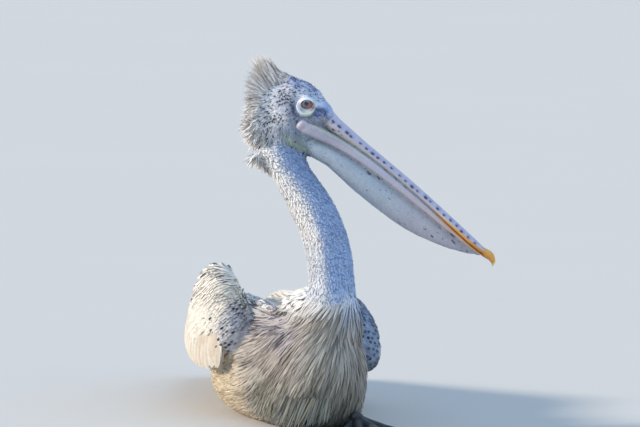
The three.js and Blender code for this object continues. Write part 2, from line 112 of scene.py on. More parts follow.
def make_camera():
    toward_camera = Vector((
        math.sin(CAMERA_AZIMUTH) * math.cos(CAMERA_ELEVATION),
        -math.cos(CAMERA_AZIMUTH) * math.cos(CAMERA_ELEVATION),
        math.sin(CAMERA_ELEVATION),
    ))
    right = Vector((math.cos(CAMERA_AZIMUTH), math.sin(CAMERA_AZIMUTH), 0))
    upward = toward_camera.cross(right)
    target = BODY @ Vector((0, 0, TARGET_HEIGHT))
    aside = (FRAME_SIZE[0] / 2 - TARGET_PIXEL[0]) * PIXEL_SIZE
    higher = (TARGET_PIXEL[1] - FRAME_SIZE[1] / 2) * PIXEL_SIZE
    data = bpy.data.cameras.new("long_lens")
    data.sensor_width = 36
    data.lens = data.sensor_width * CAMERA_DISTANCE / (FRAME_SIZE[0] * PIXEL_SIZE)
    data.clip_end = 200
    camera = bpy.data.objects.new("camera", data)
    bpy.context.scene.collection.objects.link(camera)
    camera.location = target + toward_camera * CAMERA_DISTANCE
    aim = target + right * aside + upward * higher
    camera.rotation_euler = (aim - camera.location).to_track_quat("-Z", "Y").to_euler()
    bpy.context.scene.camera = camera
    return camera


camera = make_camera()
print("Lens in mm:", round(camera.data.lens, 1))

# %% [markdown]
# ## Working helpers
# Small tools serve every piece: a colour from a hex code, a smooth curve through a few rows of numbers,
# and a mesh built from arrays, which is far quicker than adding tens of thousands of points one by one.

# %% Helpers
rng = np.random.default_rng(7)
UP = np.array((0.0, 0.0, 1.0))


def paint(code):
    """A hex colour as the linear values that shaders use."""
    parts = np.array([int(code[i:i + 2], 16) for i in (1, 3, 5)]) / 255
    return np.where(parts <= 0.04045, parts / 12.92, ((parts + 0.055) / 1.055) ** 2.4)


def smooth_table(rows):
    """A smooth line through rows of (stop, value, value, ...)."""
    rows = np.array(rows, float)
    stops, values = rows[:, 0], rows[:, 1:]
    slopes = np.gradient(values, stops, axis=0)

    def at(stop):
        stop = np.clip(np.asarray(stop, float), stops[0], stops[-1])
        i = np.clip(np.searchsorted(stops, stop, side="right") - 1, 0, len(stops) - 2)
        span = (stops[i + 1] - stops[i])[..., None]
        t = (stop - stops[i])[..., None] / span
        bend = t * t * (3 - 2 * t)
        leave = t * (1 - t) ** 2 * span * slopes[i]
        arrive = t * t * (1 - t) * span * slopes[i + 1]
        return values[i] + (values[i + 1] - values[i]) * bend + leave - arrive

    return at


def ramp(value, start, end):
    """0 before start, 1 after end and smooth between."""
    t = np.clip((value - start) / (end - start), 0, 1)
    return t * t * (3 - 2 * t)


def bell(value, width):
    """1 where the value is 0, falling off softly to both sides."""
    return np.exp(-(value / width) ** 2)


def unit(vectors):
    return vectors / np.maximum(np.linalg.norm(vectors, axis=-1, keepdims=True), 1e-12)


def dot(a, b):
    return (a * b).sum(-1)


def rows_of(*columns):
    """Rows with one value of each column. A single number serves every row."""
    return np.stack(np.broadcast_arrays(*columns), -1)


def mixed(a, b, share):
    """Colour a turning into colour b, by a share for each point."""
    return a + (b - a) * np.asarray(share)[..., None]


def painted(base, points, *layers):
    """A base colour with layers over it, each a hex code and its share at each point."""
    colour = np.tile(paint(base), (len(points), 1))
    for code, share in layers:
        colour = mixed(colour, paint(code), share)
    return colour


def mesh_from(name, points, faces, smooth=True):
    """A mesh from arrays of points and faces, all with the same number of corners."""
    mesh = bpy.data.meshes.new(name)
    mesh.vertices.add(len(points))
    mesh.vertices.foreach_set("co", np.asarray(points, np.float32).ravel())
    corners = faces.shape[1]
    mesh.loops.add(faces.size)
    mesh.loops.foreach_set("vertex_index", faces.astype(np.int32).ravel())
    mesh.polygons.add(len(faces))
    mesh.polygons.foreach_set("loop_start", np.arange(0, faces.size, corners, dtype=np.int32))
    mesh.update(calc_edges=True)
    mesh.validate()
    mesh.shade_smooth() if smooth else mesh.shade_flat()
    return mesh


def colour_points(mesh, name, colours):
    """Stores one colour for each point, where a material can read it."""
    layer = mesh.attributes.new(name, "FLOAT_COLOR", "POINT")
    filled = np.ones((len(colours), 4), np.float32)
    filled[:, :3] = colours
    layer.data.foreach_set("color", filled.ravel())


def map_points(mesh, name, places):
    """A UV map from one place for each point."""
    layer = mesh.uv_layers.new(name=name, do_init=False)
    corner = np.zeros(len(mesh.loops), np.int32)
    mesh.loops.foreach_get("vertex_index", corner)
    layer.uv.foreach_set("vector", np.asarray(places, np.float32)[corner].ravel())


def placed(name, data):
    """A new object in the scene, with this mesh or lamp."""
    thing = bpy.data.objects.new(name, data)
    bpy.context.scene.collection.objects.link(thing)
    return thing


def add_piece(name, mesh, finish, slot, *nodes, place=Matrix()):
    """Puts a finished mesh in the scene, on the model's one body, in place of some CAD nodes."""
    piece = placed(name, mesh)
    mesh.materials.append(finish)
    piece.matrix_world = place
    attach(piece, "root")
    if nodes:
        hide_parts(*nodes)
    return piece


def points_of(mesh):
    """A mesh's points and the normals there, as arrays."""
    points, normals = np.zeros((2, len(mesh.vertices) * 3), np.float32)
    mesh.vertices.foreach_get("co", points)
    mesh.vertex_normals.foreach_get("vector", normals)
    return points.reshape(-1, 3).astype(float), normals.reshape(-1, 3).astype(float)


def faces_of(mesh):
    """A mesh's triangles, as rows of three point numbers."""
    mesh.calc_loop_triangles()
    return np.array([t.vertices[:] for t in mesh.loop_triangles])


def move_points(mesh, points):
    mesh.vertices.foreach_set("co", np.asarray(points, np.float32).ravel())
    mesh.update()


def gathered(parts):
    """Several (points, faces) pairs as one."""
    starts = np.cumsum([0] + [len(points) for points, _ in parts])
    faces = np.concatenate([faces + start for (_, faces), start in zip(parts, starts)])
    return np.concatenate([points for points, _ in parts]), faces


print("Helpers ready")

# %% [markdown]
# ## Shader groups
# Several finishes share the same effects, so each effect is a node group with named inputs. A group only
# puts out masks and heights. The Principled BSDF stays in each material, which the Finish class begins.

# %% Shader groups


class Nodes:
    """Short ways to add and join nodes in one tree."""

    def __init__(self, tree):
        self.tree = tree

    def put(self, socket, value):
        """Joins a socket to another one, or sets its own value."""
        if isinstance(value, bpy.types.NodeSocket):
            self.tree.links.new(value, socket)
        else:
            socket.default_value = (*value, 1) if socket.type == "RGBA" else value

    def add(self, kind, values=None, **settings):
        node = self.tree.nodes.new(kind)
        for key, value in settings.items():
            setattr(node, key, value)
        for key, value in (values or {}).items():
            self.put(node.inputs[key], value)
        return node

    def math(self, operation, *values):
        return self.add("ShaderNodeMath", dict(enumerate(values)), operation=operation).outputs[0]

    def times(self, a, b):
        return self.math("MULTIPLY", a, b)

    def rest(self, value):
        """What is left of 1."""
        return self.math("SUBTRACT", 1, value)

    def between(self, value, low, high):
        """0 at low and 1 at high, smooth between."""
        values = {"Value": value, "From Min": low, "From Max": high}
        return self.add("ShaderNodeMapRange", values, interpolation_type="SMOOTHSTEP").outputs["Result"]

    def blend(self, share, a, b):
        return self.add("ShaderNodeMix", {0: share, 6: a, 7: b}, data_type="RGBA").outputs[2]

    def over(self, colour, mask, share, layer):
        """A colour with a layer over it, as strong as the mask's share says."""
        return self.blend(self.times(mask, share), colour, layer)

    def read(self, name, output="Color"):
        """What a mesh stores under a name."""
        return self.add("ShaderNodeAttribute", attribute_name=name).outputs[output]

    def split(self, colour):
        return self.add("ShaderNodeSeparateColor", {"Color": colour}).outputs

    def group(self, tree, **values):
        node = self.add("ShaderNodeGroup", node_tree=tree)
        for key, value in values.items():
            self.put(node.inputs[key.replace("_", " ")], value)
        return node.outputs

    def mottled(self, place, scale, low, high):
        return self.group(MOTTLING, Vector=place, Scale=scale, Low=low, High=high)["Mask"]

    def spotted(self, place, scale, size, share):
        return self.group(SPOTS, Vector=place, Scale=scale, Size=size, Share=share)["Mask"]


class Finish(Nodes):
    """A new material, with its Principled shader, its output and the place on the object."""

    def __init__(self, name):
        self.material = bpy.data.materials.new(name)
        self.material.use_nodes = True
        self.material.node_tree.nodes.clear()
        super().__init__(self.material.node_tree)
        shader = self.add("ShaderNodeBsdfPrincipled")
        self.add("ShaderNodeOutputMaterial", {"Surface": shader.outputs[0]})
        self.sockets = shader.inputs
        self.place = self.add("ShaderNodeTexCoord").outputs["Object"]

    def rough(self, mask, share, base):
        """A roughness that rises from its base by a share of a mask."""
        return self.math("ADD", self.times(mask, share), base)

    def bump(self, height, depth, strength):
        values = {"Height": height, "Distance": depth * MM, "Strength": strength}
        self.put(self.sockets["Normal"], self.add("ShaderNodeBump", values).outputs[0])

    def done(self, colour, roughness, **others):
        """Joins the colour and the roughness, and sets the shader's other sockets."""
        for key, value in {"Base_Color": colour, "Roughness": roughness, **others}.items():
            self.put(self.sockets[key.replace("_", " ")], value)
        return self.material


def new_group(name, inputs, outputs):
    """An empty group with float or vector inputs, given with their usual values."""
    tree = bpy.data.node_groups.new(name, "ShaderNodeTree")
    for label, value in inputs.items():
        kind = "NodeSocketVector" if value is None else "NodeSocketFloat"
        socket = tree.interface.new_socket(label, in_out="INPUT", socket_type=kind)
        if value is not None:
            socket.default_value = value
    for label in outputs:
        tree.interface.new_socket(label, in_out="OUTPUT", socket_type="NodeSocketFloat")
    nodes = Nodes(tree)
    return nodes, nodes.add("NodeGroupInput").outputs, nodes.add("NodeGroupOutput").inputs


def make_spots():
    """Rounded spots of uneven size. Share is how much of the surface may have them."""
    inputs = {"Vector": None, "Scale": 200, "Size": 0.3, "Share": 0.5}
    nodes, given, result = new_group("scattered_spots", inputs, ["Mask"])
    noise = {"Vector": given["Vector"], "Scale": 400, "Detail": 1}
    wobble = nodes.add("ShaderNodeTexNoise", noise).outputs["Color"]
    shift = nodes.add("ShaderNodeVectorMath", {0: wobble, 1: (0.5, 0.5, 0.5)}, operation="SUBTRACT")
    small = nodes.add("ShaderNodeVectorMath", {0: shift.outputs[0], "Scale": 0.003}, operation="SCALE")
    place = nodes.add("ShaderNodeVectorMath", {0: given["Vector"], 1: small.outputs[0]})
    cells = nodes.add("ShaderNodeTexVoronoi", {"Vector": place.outputs[0], "Scale": given["Scale"]})
    chance = nodes.split(cells.outputs["Color"])
    reach = nodes.times(given["Size"], nodes.math("ADD", chance[1], 0.4))
    round_spot = nodes.rest(nodes.between(cells.outputs["Distance"], nodes.times(reach, 0.7), reach))
    kept = nodes.math("LESS_THAN", chance[0], given["Share"])
    nodes.put(result["Mask"], nodes.times(round_spot, kept))
    return nodes.tree


def make_mottling():
    """A soft uneven pattern from 0 to 1."""
    inputs = {"Vector": None, "Scale": 60, "Low": 0.4, "High": 0.6}
    nodes, given, result = new_group("soft_mottling", inputs, ["Mask"])
    values = {"Vector": given["Vector"], "Scale": given["Scale"], "Detail": 4}
    noise = nodes.add("ShaderNodeTexNoise", values).outputs["Fac"]
    nodes.put(result["Mask"], nodes.between(noise, given["Low"], given["High"]))
    return nodes.tree


def make_feather_parts():
    """The parts of a vane, from the map named vane: across it in U and from root to tip in V."""
    outputs = ("Shaft", "Edge", "Along", "Aside", "Barb Height")
    nodes, given, result = new_group("feather_parts", {"Shaft Width": 0.1, "Barbs": 40}, outputs)
    place = nodes.add("ShaderNodeUVMap", uv_map="vane").outputs["UV"]
    across, along, _ = nodes.add("ShaderNodeSeparateXYZ", {"Vector": place}).outputs
    aside = nodes.math("ABSOLUTE", nodes.math("SUBTRACT", nodes.times(across, 2), 1))
    shaft = nodes.rest(nodes.between(aside, 0, given["Shaft Width"]))
    slanted = nodes.math("SUBTRACT", along, nodes.times(aside, 0.25))
    wave = nodes.math("SINE", nodes.times(slanted, nodes.times(given["Barbs"], 6.283)))
    height = nodes.math("ADD", nodes.times(wave, 0.25), shaft)
    for label, value in zip(outputs, (shaft, nodes.between(aside, 0.55, 1), along, aside, height)):
        nodes.put(result[label], value)
    return nodes.tree


SPOTS, MOTTLING, FEATHER_PARTS = make_spots(), make_mottling(), make_feather_parts()
print("Groups:", [group.name for group in bpy.data.node_groups])

# %% [markdown]
# ## One skin over all the flesh
# The nodes of the flesh meet at thin cuts, and a museum model shows none. A voxel remesh melts closed
# shapes that touch into one even surface. Boolean unions would keep every facet and cut.

# %% Draw the flesh together
FLESH = (
    "head", "pouch", "neck_upper", "neck_middle", "neck_lower", "trunk", "tail",
    "wing_right", "quills_right", "wing_left", "quills_left",
)
UNDER_HORN = ("bill_upper", "bill_lower", "eye_right", "eye_left")   # filled in, so no slit shows
SKIN_VOXEL = 3.2 * MM


def node_arrays(node):
    """The points and triangles of a CAD node."""
    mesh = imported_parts[node].data
    return np.array([v.co for v in mesh.vertices], float), faces_of(mesh)


def tree_of(points, faces):
    return BVHTree.FromPolygons(points.tolist(), faces.tolist())


def nearest(tree, points):
    """For each point: the nearest place on the surface, its normal and its face."""
    found = [tree.find_nearest(p) for p in points.tolist()]
    return [np.array([f[i] for f in found]) for i in range(3)]


LABELS = FLESH + ("crest",)
cad_parts = [node_arrays(label) for label in LABELS]
cad_tree = tree_of(*gathered(cad_parts))
cad_owner = np.repeat(LABELS, [len(faces) for _, faces in cad_parts])


def node_at(points):
    """The name of the CAD node nearest to each point."""
    return cad_owner[nearest(cad_tree, points)[2]]


def melted(name, points, faces, voxel, rounds):
    """One closed surface round everything, of squares a voxel wide, then smoothed."""
    rough = placed(name, mesh_from(name, points, faces))
    remesh = rough.modifiers.new("melt", "REMESH")
    remesh.mode = "VOXEL"
    remesh.voxel_size = voxel
    soften = rough.modifiers.new("soften", "SMOOTH")
    soften.factor = 0.5
    soften.iterations = rounds
    finished = bpy.data.meshes.new_from_object(
        rough.evaluated_get(bpy.context.evaluated_depsgraph_get()))
    bpy.data.objects.remove(rough)
    finished.shade_smooth()
    return finished


def edges_of(mesh):
    ends = np.zeros(len(mesh.edges) * 2, np.int32)
    mesh.edges.foreach_get("vertices", ends)
    return ends.reshape(-1, 2)


def spread(values, edges, rounds):
    """Values of points, averaged with their neighbours' a number of times."""
    values = np.array(values, float)
    count = np.bincount(edges.ravel(), minlength=len(values))
    shape = (-1,) + (1,) * (values.ndim - 1)
    for _ in range(rounds):
        total = np.zeros_like(values)
        np.add.at(total, edges[:, 0], values[edges[:, 1]])
        np.add.at(total, edges[:, 1], values[edges[:, 0]])
        values = 0.5 * values + 0.5 * total / np.maximum(count, 1).reshape(shape)
    return values


skin_mesh = melted("skin", *gathered([node_arrays(n) for n in FLESH + UNDER_HORN]), SKIN_VOXEL, 9)
print("Skin points before the face is refined:", len(skin_mesh.vertices))

# %% [markdown]
# ## Room for the coat and the horn
# Each point of the skin sinks along its normal by the depth of the feathers there. Around the bill the
# skin is drawn in further, until it lies inside the horn.

# %% Sink the skin by the coat's depth
COAT_DEPTHS = {
    "head": 2.5, "crest": 6, "pouch": 0.3, "neck_upper": 4, "neck_middle": 3.2, "neck_lower": 5,
    "trunk": 9, "tail": 7, "wing_right": 5, "wing_left": 5, "quills_right": 5, "quills_left": 5,
}
DEEPEST_SHARE = 0.3              # of the thickness there, so thin parts keep a core
BACK_HOLLOW = 15                 # how much deeper the skin of the back lies, between the wings
LEAST_HEIGHT = 0.4 * MM          # of any skin or feather over the floor
HORN_FILL = 0.86                 # of the horn's half-width, which the skin inside it takes up
UPPER_FULLNESS = 2.3             # of the upper bill's rings: 2 is an oval, more is boxier
# Rows of the horn: (along the bill, top, bottom, half-width).
UPPER_BILL_ROWS = (
    (-24, -7, -18, 5), (-12, -5, -24, 12), (4, -5.8, -31, 19), (18, -7.6, -29.5, 22.5), (36, -7.5, -26.5, 23),
    (60, -7.2, -22.3, 21.5), (105, -5.4, -18, 19), (150, -3.5, -15.6, 17.5), (210, -2.7, -13.6, 18),
    (255, -2.9, -13, 20), (288, -3.3, -12, 17), (303, -3.8, -10.5, 10), (309, -5, -8, 2),
)
BROW_ROWS = ((-60, 40), (-48, 11), (-34, 3.6), (-18, -0.6), (-2, -2.6), (4, -5), (10, -9), (400, -9))
LOWER_BILL_ROWS = (
    (-27, -48, -52, 16), (-22, -42.5, -57.5, 26), (-10, -38.5, -58.5, 28.6), (8, -33, -53, 28),
    (35, -26.5, -43.5, 25.4), (60, -22.3, -37, 24.6), (92, -18.6, -31.2, 23.2), (132, -16.2, -26.4, 21),
    (185, -13.9, -22.6, 19.2), (250, -12.9, -19, 16.6), (300, -12, -14.6, 9.4), (315, -11, -12.4, 2),
)


def inner_room(points, normals, tree):
    """How thick the body is under each point, straight inward."""
    pairs = zip(points.tolist(), normals.tolist())
    found = [tree.ray_cast(Vector(p) - Vector(n) * MM, -Vector(n))[3] for p, n in pairs]
    return np.array([1 if depth is None else depth for depth in found]) / MM


def horn_at(rows, along):
    """The horn's top, bottom and half-width at places along the bill."""
    stops, *lines = np.array(rows).T
    return [np.interp(along, stops, line) for line in lines]


def inside_horn(points):
    """Draws the skin of the bill in, so that it lies inside the horn."""
    along, side, high = into(BILL, points).T
    top, bottom, half = horn_at(UPPER_BILL_ROWS, along)
    middle, half_high = (top + bottom) / 2, (top - bottom) / 2
    full = UPPER_FULLNESS
    out = ((np.abs(side) / half) ** full + (np.abs(high - middle) / half_high) ** full) ** (1 / full)
    keep = np.minimum(1, HORN_FILL / np.maximum(out, 1e-6))
    share = ramp(along, 4, 13) * ramp(high - bottom, -1, 1)
    high = high + share * (middle + (high - middle) * keep - high)
    side = side * (1 + share * (keep - 1))
    high = np.minimum(high, np.interp(along, *zip(*BROW_ROWS)))
    top, bottom, half = horn_at(LOWER_BILL_ROWS, along)
    share = ramp(along, -26, -18) * ramp(high - bottom, 0, 2.5) * ramp(high - top, 3, -1)
    limit = half * HORN_FILL
    side = side + share * (np.clip(side, -limit, limit) - side)
    return out_of(BILL, rows_of(along, side, high))


def sink_skin(mesh):
    points, normals = points_of(mesh)
    room = inner_room(points, normals, tree_of(points, faces_of(mesh)))
    edges = edges_of(mesh)
    depth = spread([COAT_DEPTHS[name] for name in node_at(points)], edges, 12)
    x, _, z = into(HEAD, points).T
    depth *= 1 - 0.85 * ramp(x, -12, 2) * ramp(z, -95, -80)
    x, y, z = into(BODY, points).T
    half = np.interp(y, (130, 160), (92, 66))
    hollow = ramp(y, 20, 55) * ramp(y, 430, 330) * ramp(np.abs(x), half + 12, half - 12)
    mantle = ramp(x, -66, -46) * ramp(y, 118, 92)
    depth += BACK_HOLLOW * hollow * (1 - mantle) * ramp(z, 140, 165)
    depth = np.minimum(depth, spread(room, edges, 4) * DEEPEST_SHARE)
    points = inside_horn(points - normals * depth[:, None] * MM)
    points[:, 2] = np.maximum(points[:, 2], LEAST_HEIGHT)
    move_points(mesh, points)
    return depth


coat_depth = sink_skin(skin_mesh)
print("Coat depth in mm, least and most:", coat_depth.min().round(1), coat_depth.max().round(1))

# %% [markdown]
# ## The face
# The bare face has folds a few millimetres wide, so its squares are halved twice before they are moved.
# Each fold is a groove along a short line in the head's frame, the same on both sides of the head.

# %% Refine and fold the face
FACE_MIDDLE, FACE_RADII = (12, -18), (46, 46)        # of the part that is refined
RING_MIDDLE, RING_RADII = (0.4, -4.2), (14.2, 13.8)
RING_BED = 1.8                   # the skin's depth under the lids
EYE_RADIUS = 11.5
OPENING_MIDDLE, OPENING_RADII = (1.5, -1.2), (8.9, 6.6)      # of the lids
THROAT_EDGE = ((-33, -43), (-8, -62), (18, -79))     # the pouch's lower edge, as (X, Z)
# Folds as lines of (X, Z) in the head's frame, each with its depth and half-width.
FACE_FOLDS = (
    (((-18, -2), (-16.5, -13), (-8, -20.5), (4, -20.5), (13, -15.5)), 1.7, 2),
    (((11, -6.5), (18, -9.5), (27, -14), (31, -20)), 1.5, 1.7),
    (((31, -17), (26, -20), (24, -27), (17, -32), (10, -29)), 0.9, 1.4),
    (((-22, -24), (-17, -34), (-9, -41)), 0.8, 2.2),
    (((-14, 11), (-4, 14.5), (8, 13), (17, 5)), 0.7, 2),
)
FACE_SWELLS = (((17, -24), 5.5, 1), ((4, 15), 9, 0.8), ((-22, -14), 10, 0.8))


def refine_near(mesh, chosen):
    """Halves the squares whose corners are all chosen, without changing the shape."""
    work = bmesh.new()
    work.from_mesh(mesh)
    work.verts.ensure_lookup_table()
    flags = {i for i, keep in enumerate(chosen) if keep}
    edges = [e for e in work.edges if e.verts[0].index in flags and e.verts[1].index in flags]
    bmesh.ops.subdivide_edges(work, edges=edges, cuts=1, use_grid_fill=True, smooth=0.6)
    work.to_mesh(mesh)
    work.free()


def from_line(x, z, line):
    """How far each point is from a line of (X, Z) corners."""
    best = np.full(len(x), np.inf)
    for (ax, az), (bx, bz) in zip(line[:-1], line[1:]):
        length2 = (bx - ax) ** 2 + (bz - az) ** 2
        t = np.clip(((x - ax) * (bx - ax) + (z - az) * (bz - az)) / length2, 0, 1)
        best = np.minimum(best, np.hypot(x - ax - t * (bx - ax), z - az - t * (bz - az)))
    return best


def in_oval(x, z, middle, radii):
    """0 at an oval's middle and 1 on its line."""
    return np.hypot((x - middle[0]) / radii[0], (z - middle[1]) / radii[1])


def near_face(points):
    x, _, z = into(HEAD, points).T
    return in_oval(x, z, FACE_MIDDLE, FACE_RADII) < 1


def fold_face(mesh):
    points, normals = points_of(mesh)
    x, y, z = into(HEAD, points).T
    sideways = np.abs(into(HEAD, points + normals * MM)[:, 1] - y)
    on_side = ramp(sideways, 0.2, 0.6) * near_face(points)
    lift = -RING_BED * (1 - ramp(in_oval(x, z, RING_MIDDLE, RING_RADII), 0.78, 1))
    for line, depth, half_width in FACE_FOLDS:
        lift -= depth * bell(from_line(x, z, line), half_width)
    for middle, radius, height in FACE_SWELLS:
        lift += height * bell(in_oval(x, z, middle, (radius, radius)), 1)
    within = 1 - ramp(in_oval(x, z, OPENING_MIDDLE, OPENING_RADII), 0.95, 1.35)
    points += normals * (lift * on_side)[:, None] * MM
    x, y, z = into(HEAD, points).T
    y -= np.sign(y) * within * on_side * np.maximum(np.abs(y) - 18, 0)
    move_points(mesh, out_of(HEAD, rows_of(x, y, z)))


for _ in range(2):
    refine_near(skin_mesh, near_face(points_of(skin_mesh)[0]))
fold_face(skin_mesh)
print("Skin points with the face refined:", len(skin_mesh.vertices))

# %% [markdown]
# ## Where each colour lies
# Skin and feathers carry the same markings, so the colours are worked out once, by rules over places:
# soft ovals and bands in the frame of the head, bill or body. They work for the points of any mesh. Some
# rules also paint blue shade on the sides turned from the sun.

# %% Colour rules


def oval(x, z, at_x, at_z, radius_x, radius_z, soft=0.5):
    """1 inside an oval, fading to 0 across its line."""
    return 1 - ramp(in_oval(x, z, (at_x, at_z), (radius_x, radius_z)), 1 - soft, 1 + soft)


def head_colour(points):
    x, _, z = into(HEAD, points).T
    # Painted blue shade over the forehead and by the bill, white feathers on the side of the head turned from
    # the sun.
    shaded_forehead = ramp(x + z, 2, 20) * ramp(z, -14, -4)

    def along(line, half_width):
        return bell(from_line(x, z, line), half_width)

    return painted(
        "#f2f1f3", points,
        ("#b9bbd6", 0.5 * ramp(z, 14, 26) * ramp(x, -46, -26)),      # crown
        ("#a4aec4", 0.6 * oval(x, z, -25, 5, 14, 18)),               # behind the eye
        ("#aabfde", 0.78 * shaded_forehead),
        ("#7d8ca4", 0.92 * oval(x, z, -15, -17, 12, 24)),            # cheek
        ("#94a2b4", 0.75 * oval(x, z, -30, -36, 9, 10)),
        ("#66687c", 0.95 * ramp(x, -8, 4) * ramp(z, -14, -20)),      # gape
        # Painted blue shade on the throat, which lies in shade under the head.
        ("#72879f", 0.9 * ramp(x, -46, -32) * ramp(z, -28, -40)),    # throat
        ("#93a596", 0.55 * oval(x, z, -12, -56, 20, 10)),
        ("#b9c58f", 0.6 * along(THROAT_EDGE, 1.9)),
        ("#8aa0c8", 0.9 * ramp(x, 23, 30) * ramp(z, -24, -16)),      # by the bill
        ("#b3a59b", 0.4 * ramp(x, -50, -64) * ramp(z, -10, 20)),     # under the crest
        ("#7a829a", 0.7 * oval(x, z, 21, -25, 9, 6)),
        ("#103a82", oval(x, z, 20, -12.5, 12.5, 7.5, 0.3)),          # lore
        # Painted shade in the creases: dark along the first two grooves of the face, under and in front of
        # the eye.
        ("#33446c", 0.85 * along(FACE_FOLDS[1][0], 1.8)),
        ("#2f3c5c", 0.9 * along(FACE_FOLDS[0][0], 2.3)),
    )


# The neck's line, as (share, X, Y, Z) in the body's frame.
NECK_LINE = (
    (0, 4, 34, 128), (0.12, 1, 12, 170), (0.22, 0.5, 0, 205), (0.34, -0.5, 1.5, 238), (0.48, -7, 7, 281),
    (0.6, -18, 17, 316), (0.72, -36, 33, 350), (0.84, -57, 49, 383), (0.94, -73, 59, 416), (1, -78, 62, 446),
)
neck_shares = np.linspace(0, 1, 60)
neck_line = out_of(BODY, smooth_table(NECK_LINE)(neck_shares))
neck_ahead = unit(np.gradient(neck_line, axis=0))


def stop_on_neck(points):
    """Which stop of the neck's line each point is nearest to."""
    return np.linalg.norm(points[:, None] - neck_line[None], axis=2).argmin(1)


def on_neck(points):
    """How far up the neck each point lies, and how far before its line and behind it."""
    stop = stop_on_neck(points)
    x, y, _ = (into(BODY, points) - into(BODY, neck_line[stop])).T
    return neck_shares[stop], x - 0.8 * y, y - 0.5 * x


def neck_colour(points):
    z = into(BODY, points)[:, 2]
    # Painted blue shade on the front of the neck, the side turned from the sun, past a line that follows
    # where the light ends. The lower neck is bluish grey all round.
    edge = np.interp(z, (300, 380, 430), (7, 13, 22))
    front = ramp(on_neck(points)[1] - edge, -6, 6) * ramp(z, 190, 225)
    low = ramp(z, 300, 250)
    return painted("#f1eeeb", points, ("#d6dce8", 0.7 * low), ("#93b1dc", 0.85 * front),
                   ("#8fa8cc", 0.5 * front * ramp(z, 325, 375)), ("#a8c3e8", 0.6 * front * low))


def trunk_colour(points):
    x, y, z = into(BODY, points).T
    breast = ramp(y, 170, 110) * ramp(z, 225, 172)
    return painted(
        "#efe6d8", points,
        ("#8d8a80", 0.95 * breast),
        ("#a8958e", 0.6 * breast * ramp(x, -20, -60) * ramp(z, 60, 110)),
        ("#8d7c76", 0.55 * breast * ramp(x, 0, 50)),
        ("#646454", 0.85 * breast * ramp(z, 125, 35) * ramp(y, 120, 60)),
        ("#cbb08a", 0.75 * ramp(z, 105, 60) * ramp(y, 90, 150)),
        ("#efedea", 0.8 * ramp(z, 150, 175) * ramp(y, 20, 60)),
    )


def wing_colour(points, side):
    x, y, z = into(BODY, points).T
    behind = ("#bfc0c2", 0.55 * ramp(y, 300, 420))
    if side == "left":
        # The far wing's front gets painted blue shade, darker lower down, as it lies in the shade of the neck
        # and body.
        shade = ramp(y, 300, 200)
        return painted("#e3dfd8", points, ("#8596b2", shade), ("#76828f", shade * ramp(z, 120, 60)), behind)
    # The near wing's front edge and wrist, turned from the sun, get a painted blue-grey shade.
    front = 0.6 * ramp(y, 182, 162)
    return painted(
        "#f3ebdc", points, ("#e0cfb4", 0.4 * ramp(z, 140, 80)), ("#c3c3d6", front * ramp(x, -112, -98)),
        ("#cfd0d8", front * ramp(z, 170, 150)), behind)


def pouch_colour(points):
    along = into(BILL, points)[:, 0]
    return painted("#b0bcc6", points, ("#9fb0b0", 0.4 * ramp(along, 50, 0)),
                   ("#c0b6bc", 0.75 * ramp(along, 100, 230)), ("#a79fae", 0.6 * ramp(along, 230, 285)))


def dab_shares(points):
    """How much of the bare skin has round speckles, and how much has dark dashes."""
    x, _, z = into(HEAD, points).T
    along, _, high = into(BILL, points).T
    below = horn_at(LOWER_BILL_ROWS, along)[1] - high
    speckles = 0.08 + 0.6 * ramp(x, -34, -26) * ramp(z, -34, -42) * ramp(x, 26, 8)
    dashes = 0.26 + 0.4 * ramp(below, 16, 8) * ramp(along, 90, 125) + 0.3 * ramp(along, 225, 260)
    return rows_of(speckles, dashes * ramp(along, 20, 60), 0)


def plumage_colour(points, labels):
    """The colour of skin and plumage at each point, for the CAD node that it belongs to."""
    colour = painted("#f0eeec", points)
    rules = {
        "head": head_colour, "crest": head_colour, "pouch": pouch_colour, "neck": neck_colour,
        "trunk": trunk_colour, "tail": trunk_colour,
        "right": lambda p: wing_colour(p, "right"), "left": lambda p: wing_colour(p, "left"),
    }
    for key, rule in rules.items():
        chosen = np.char.find(labels, key) >= 0
        colour[chosen] = rule(points[chosen])
    return colour


skin_places = points_of(skin_mesh)[0]
skin_labels = node_at(skin_places)
skin_tint = spread(plumage_colour(skin_places, skin_labels), edges_of(skin_mesh), 4)
colour_points(skin_mesh, "tint", skin_tint)
colour_points(skin_mesh, "dabs", dab_shares(skin_places))
print("Points of skin by node:", {n: int((skin_labels == n).sum()) for n in LABELS})

# %% [markdown]
# ## Skin finish
# Bare skin on a pelican's face is finely pebbled and a little greasy, and the skin under the feathers is
# dull. One material serves both: it reads the colour rules, and adds spots, mottling and a fine bump.

# %% Skin material


def skin_material():
    finish = Finish("pebbled_skin")
    clouds = finish.mottled(finish.place, 90, 0.35, 0.7)
    colour = finish.over(finish.read("tint"), clouds, 0.22, (0.3, 0.31, 0.36))
    fine = finish.mottled(finish.place, 420, 0.35, 0.68)
    colour = finish.over(colour, fine, 0.25, (0.75, 0.78, 0.84))
    share = finish.split(finish.read("dabs"))
    speckles = finish.spotted(finish.place, 300, 0.33, share[0])
    colour = finish.over(colour, speckles, 0.6, (0.06, 0.075, 0.16))
    stretch = {"Vector": finish.place, "Rotation": BILL.to_euler(), "Scale": (3, 1, 1)}
    along = finish.add("ShaderNodeMapping", stretch, vector_type="TEXTURE").outputs[0]
    colour = finish.over(colour, finish.spotted(along, 180, 0.26, share[1]), 0.8, (0.05, 0.055, 0.09))
    cells = {"Vector": finish.place, "Scale": 900}
    pebbles = finish.add("ShaderNodeTexVoronoi", cells, feature="SMOOTH_F1").outputs["Distance"]
    finish.bump(pebbles, 0.5, 0.55)
    return finish.done(colour, finish.rough(fine, 0.2, 0.45), Specular_IOR_Level=0.35)


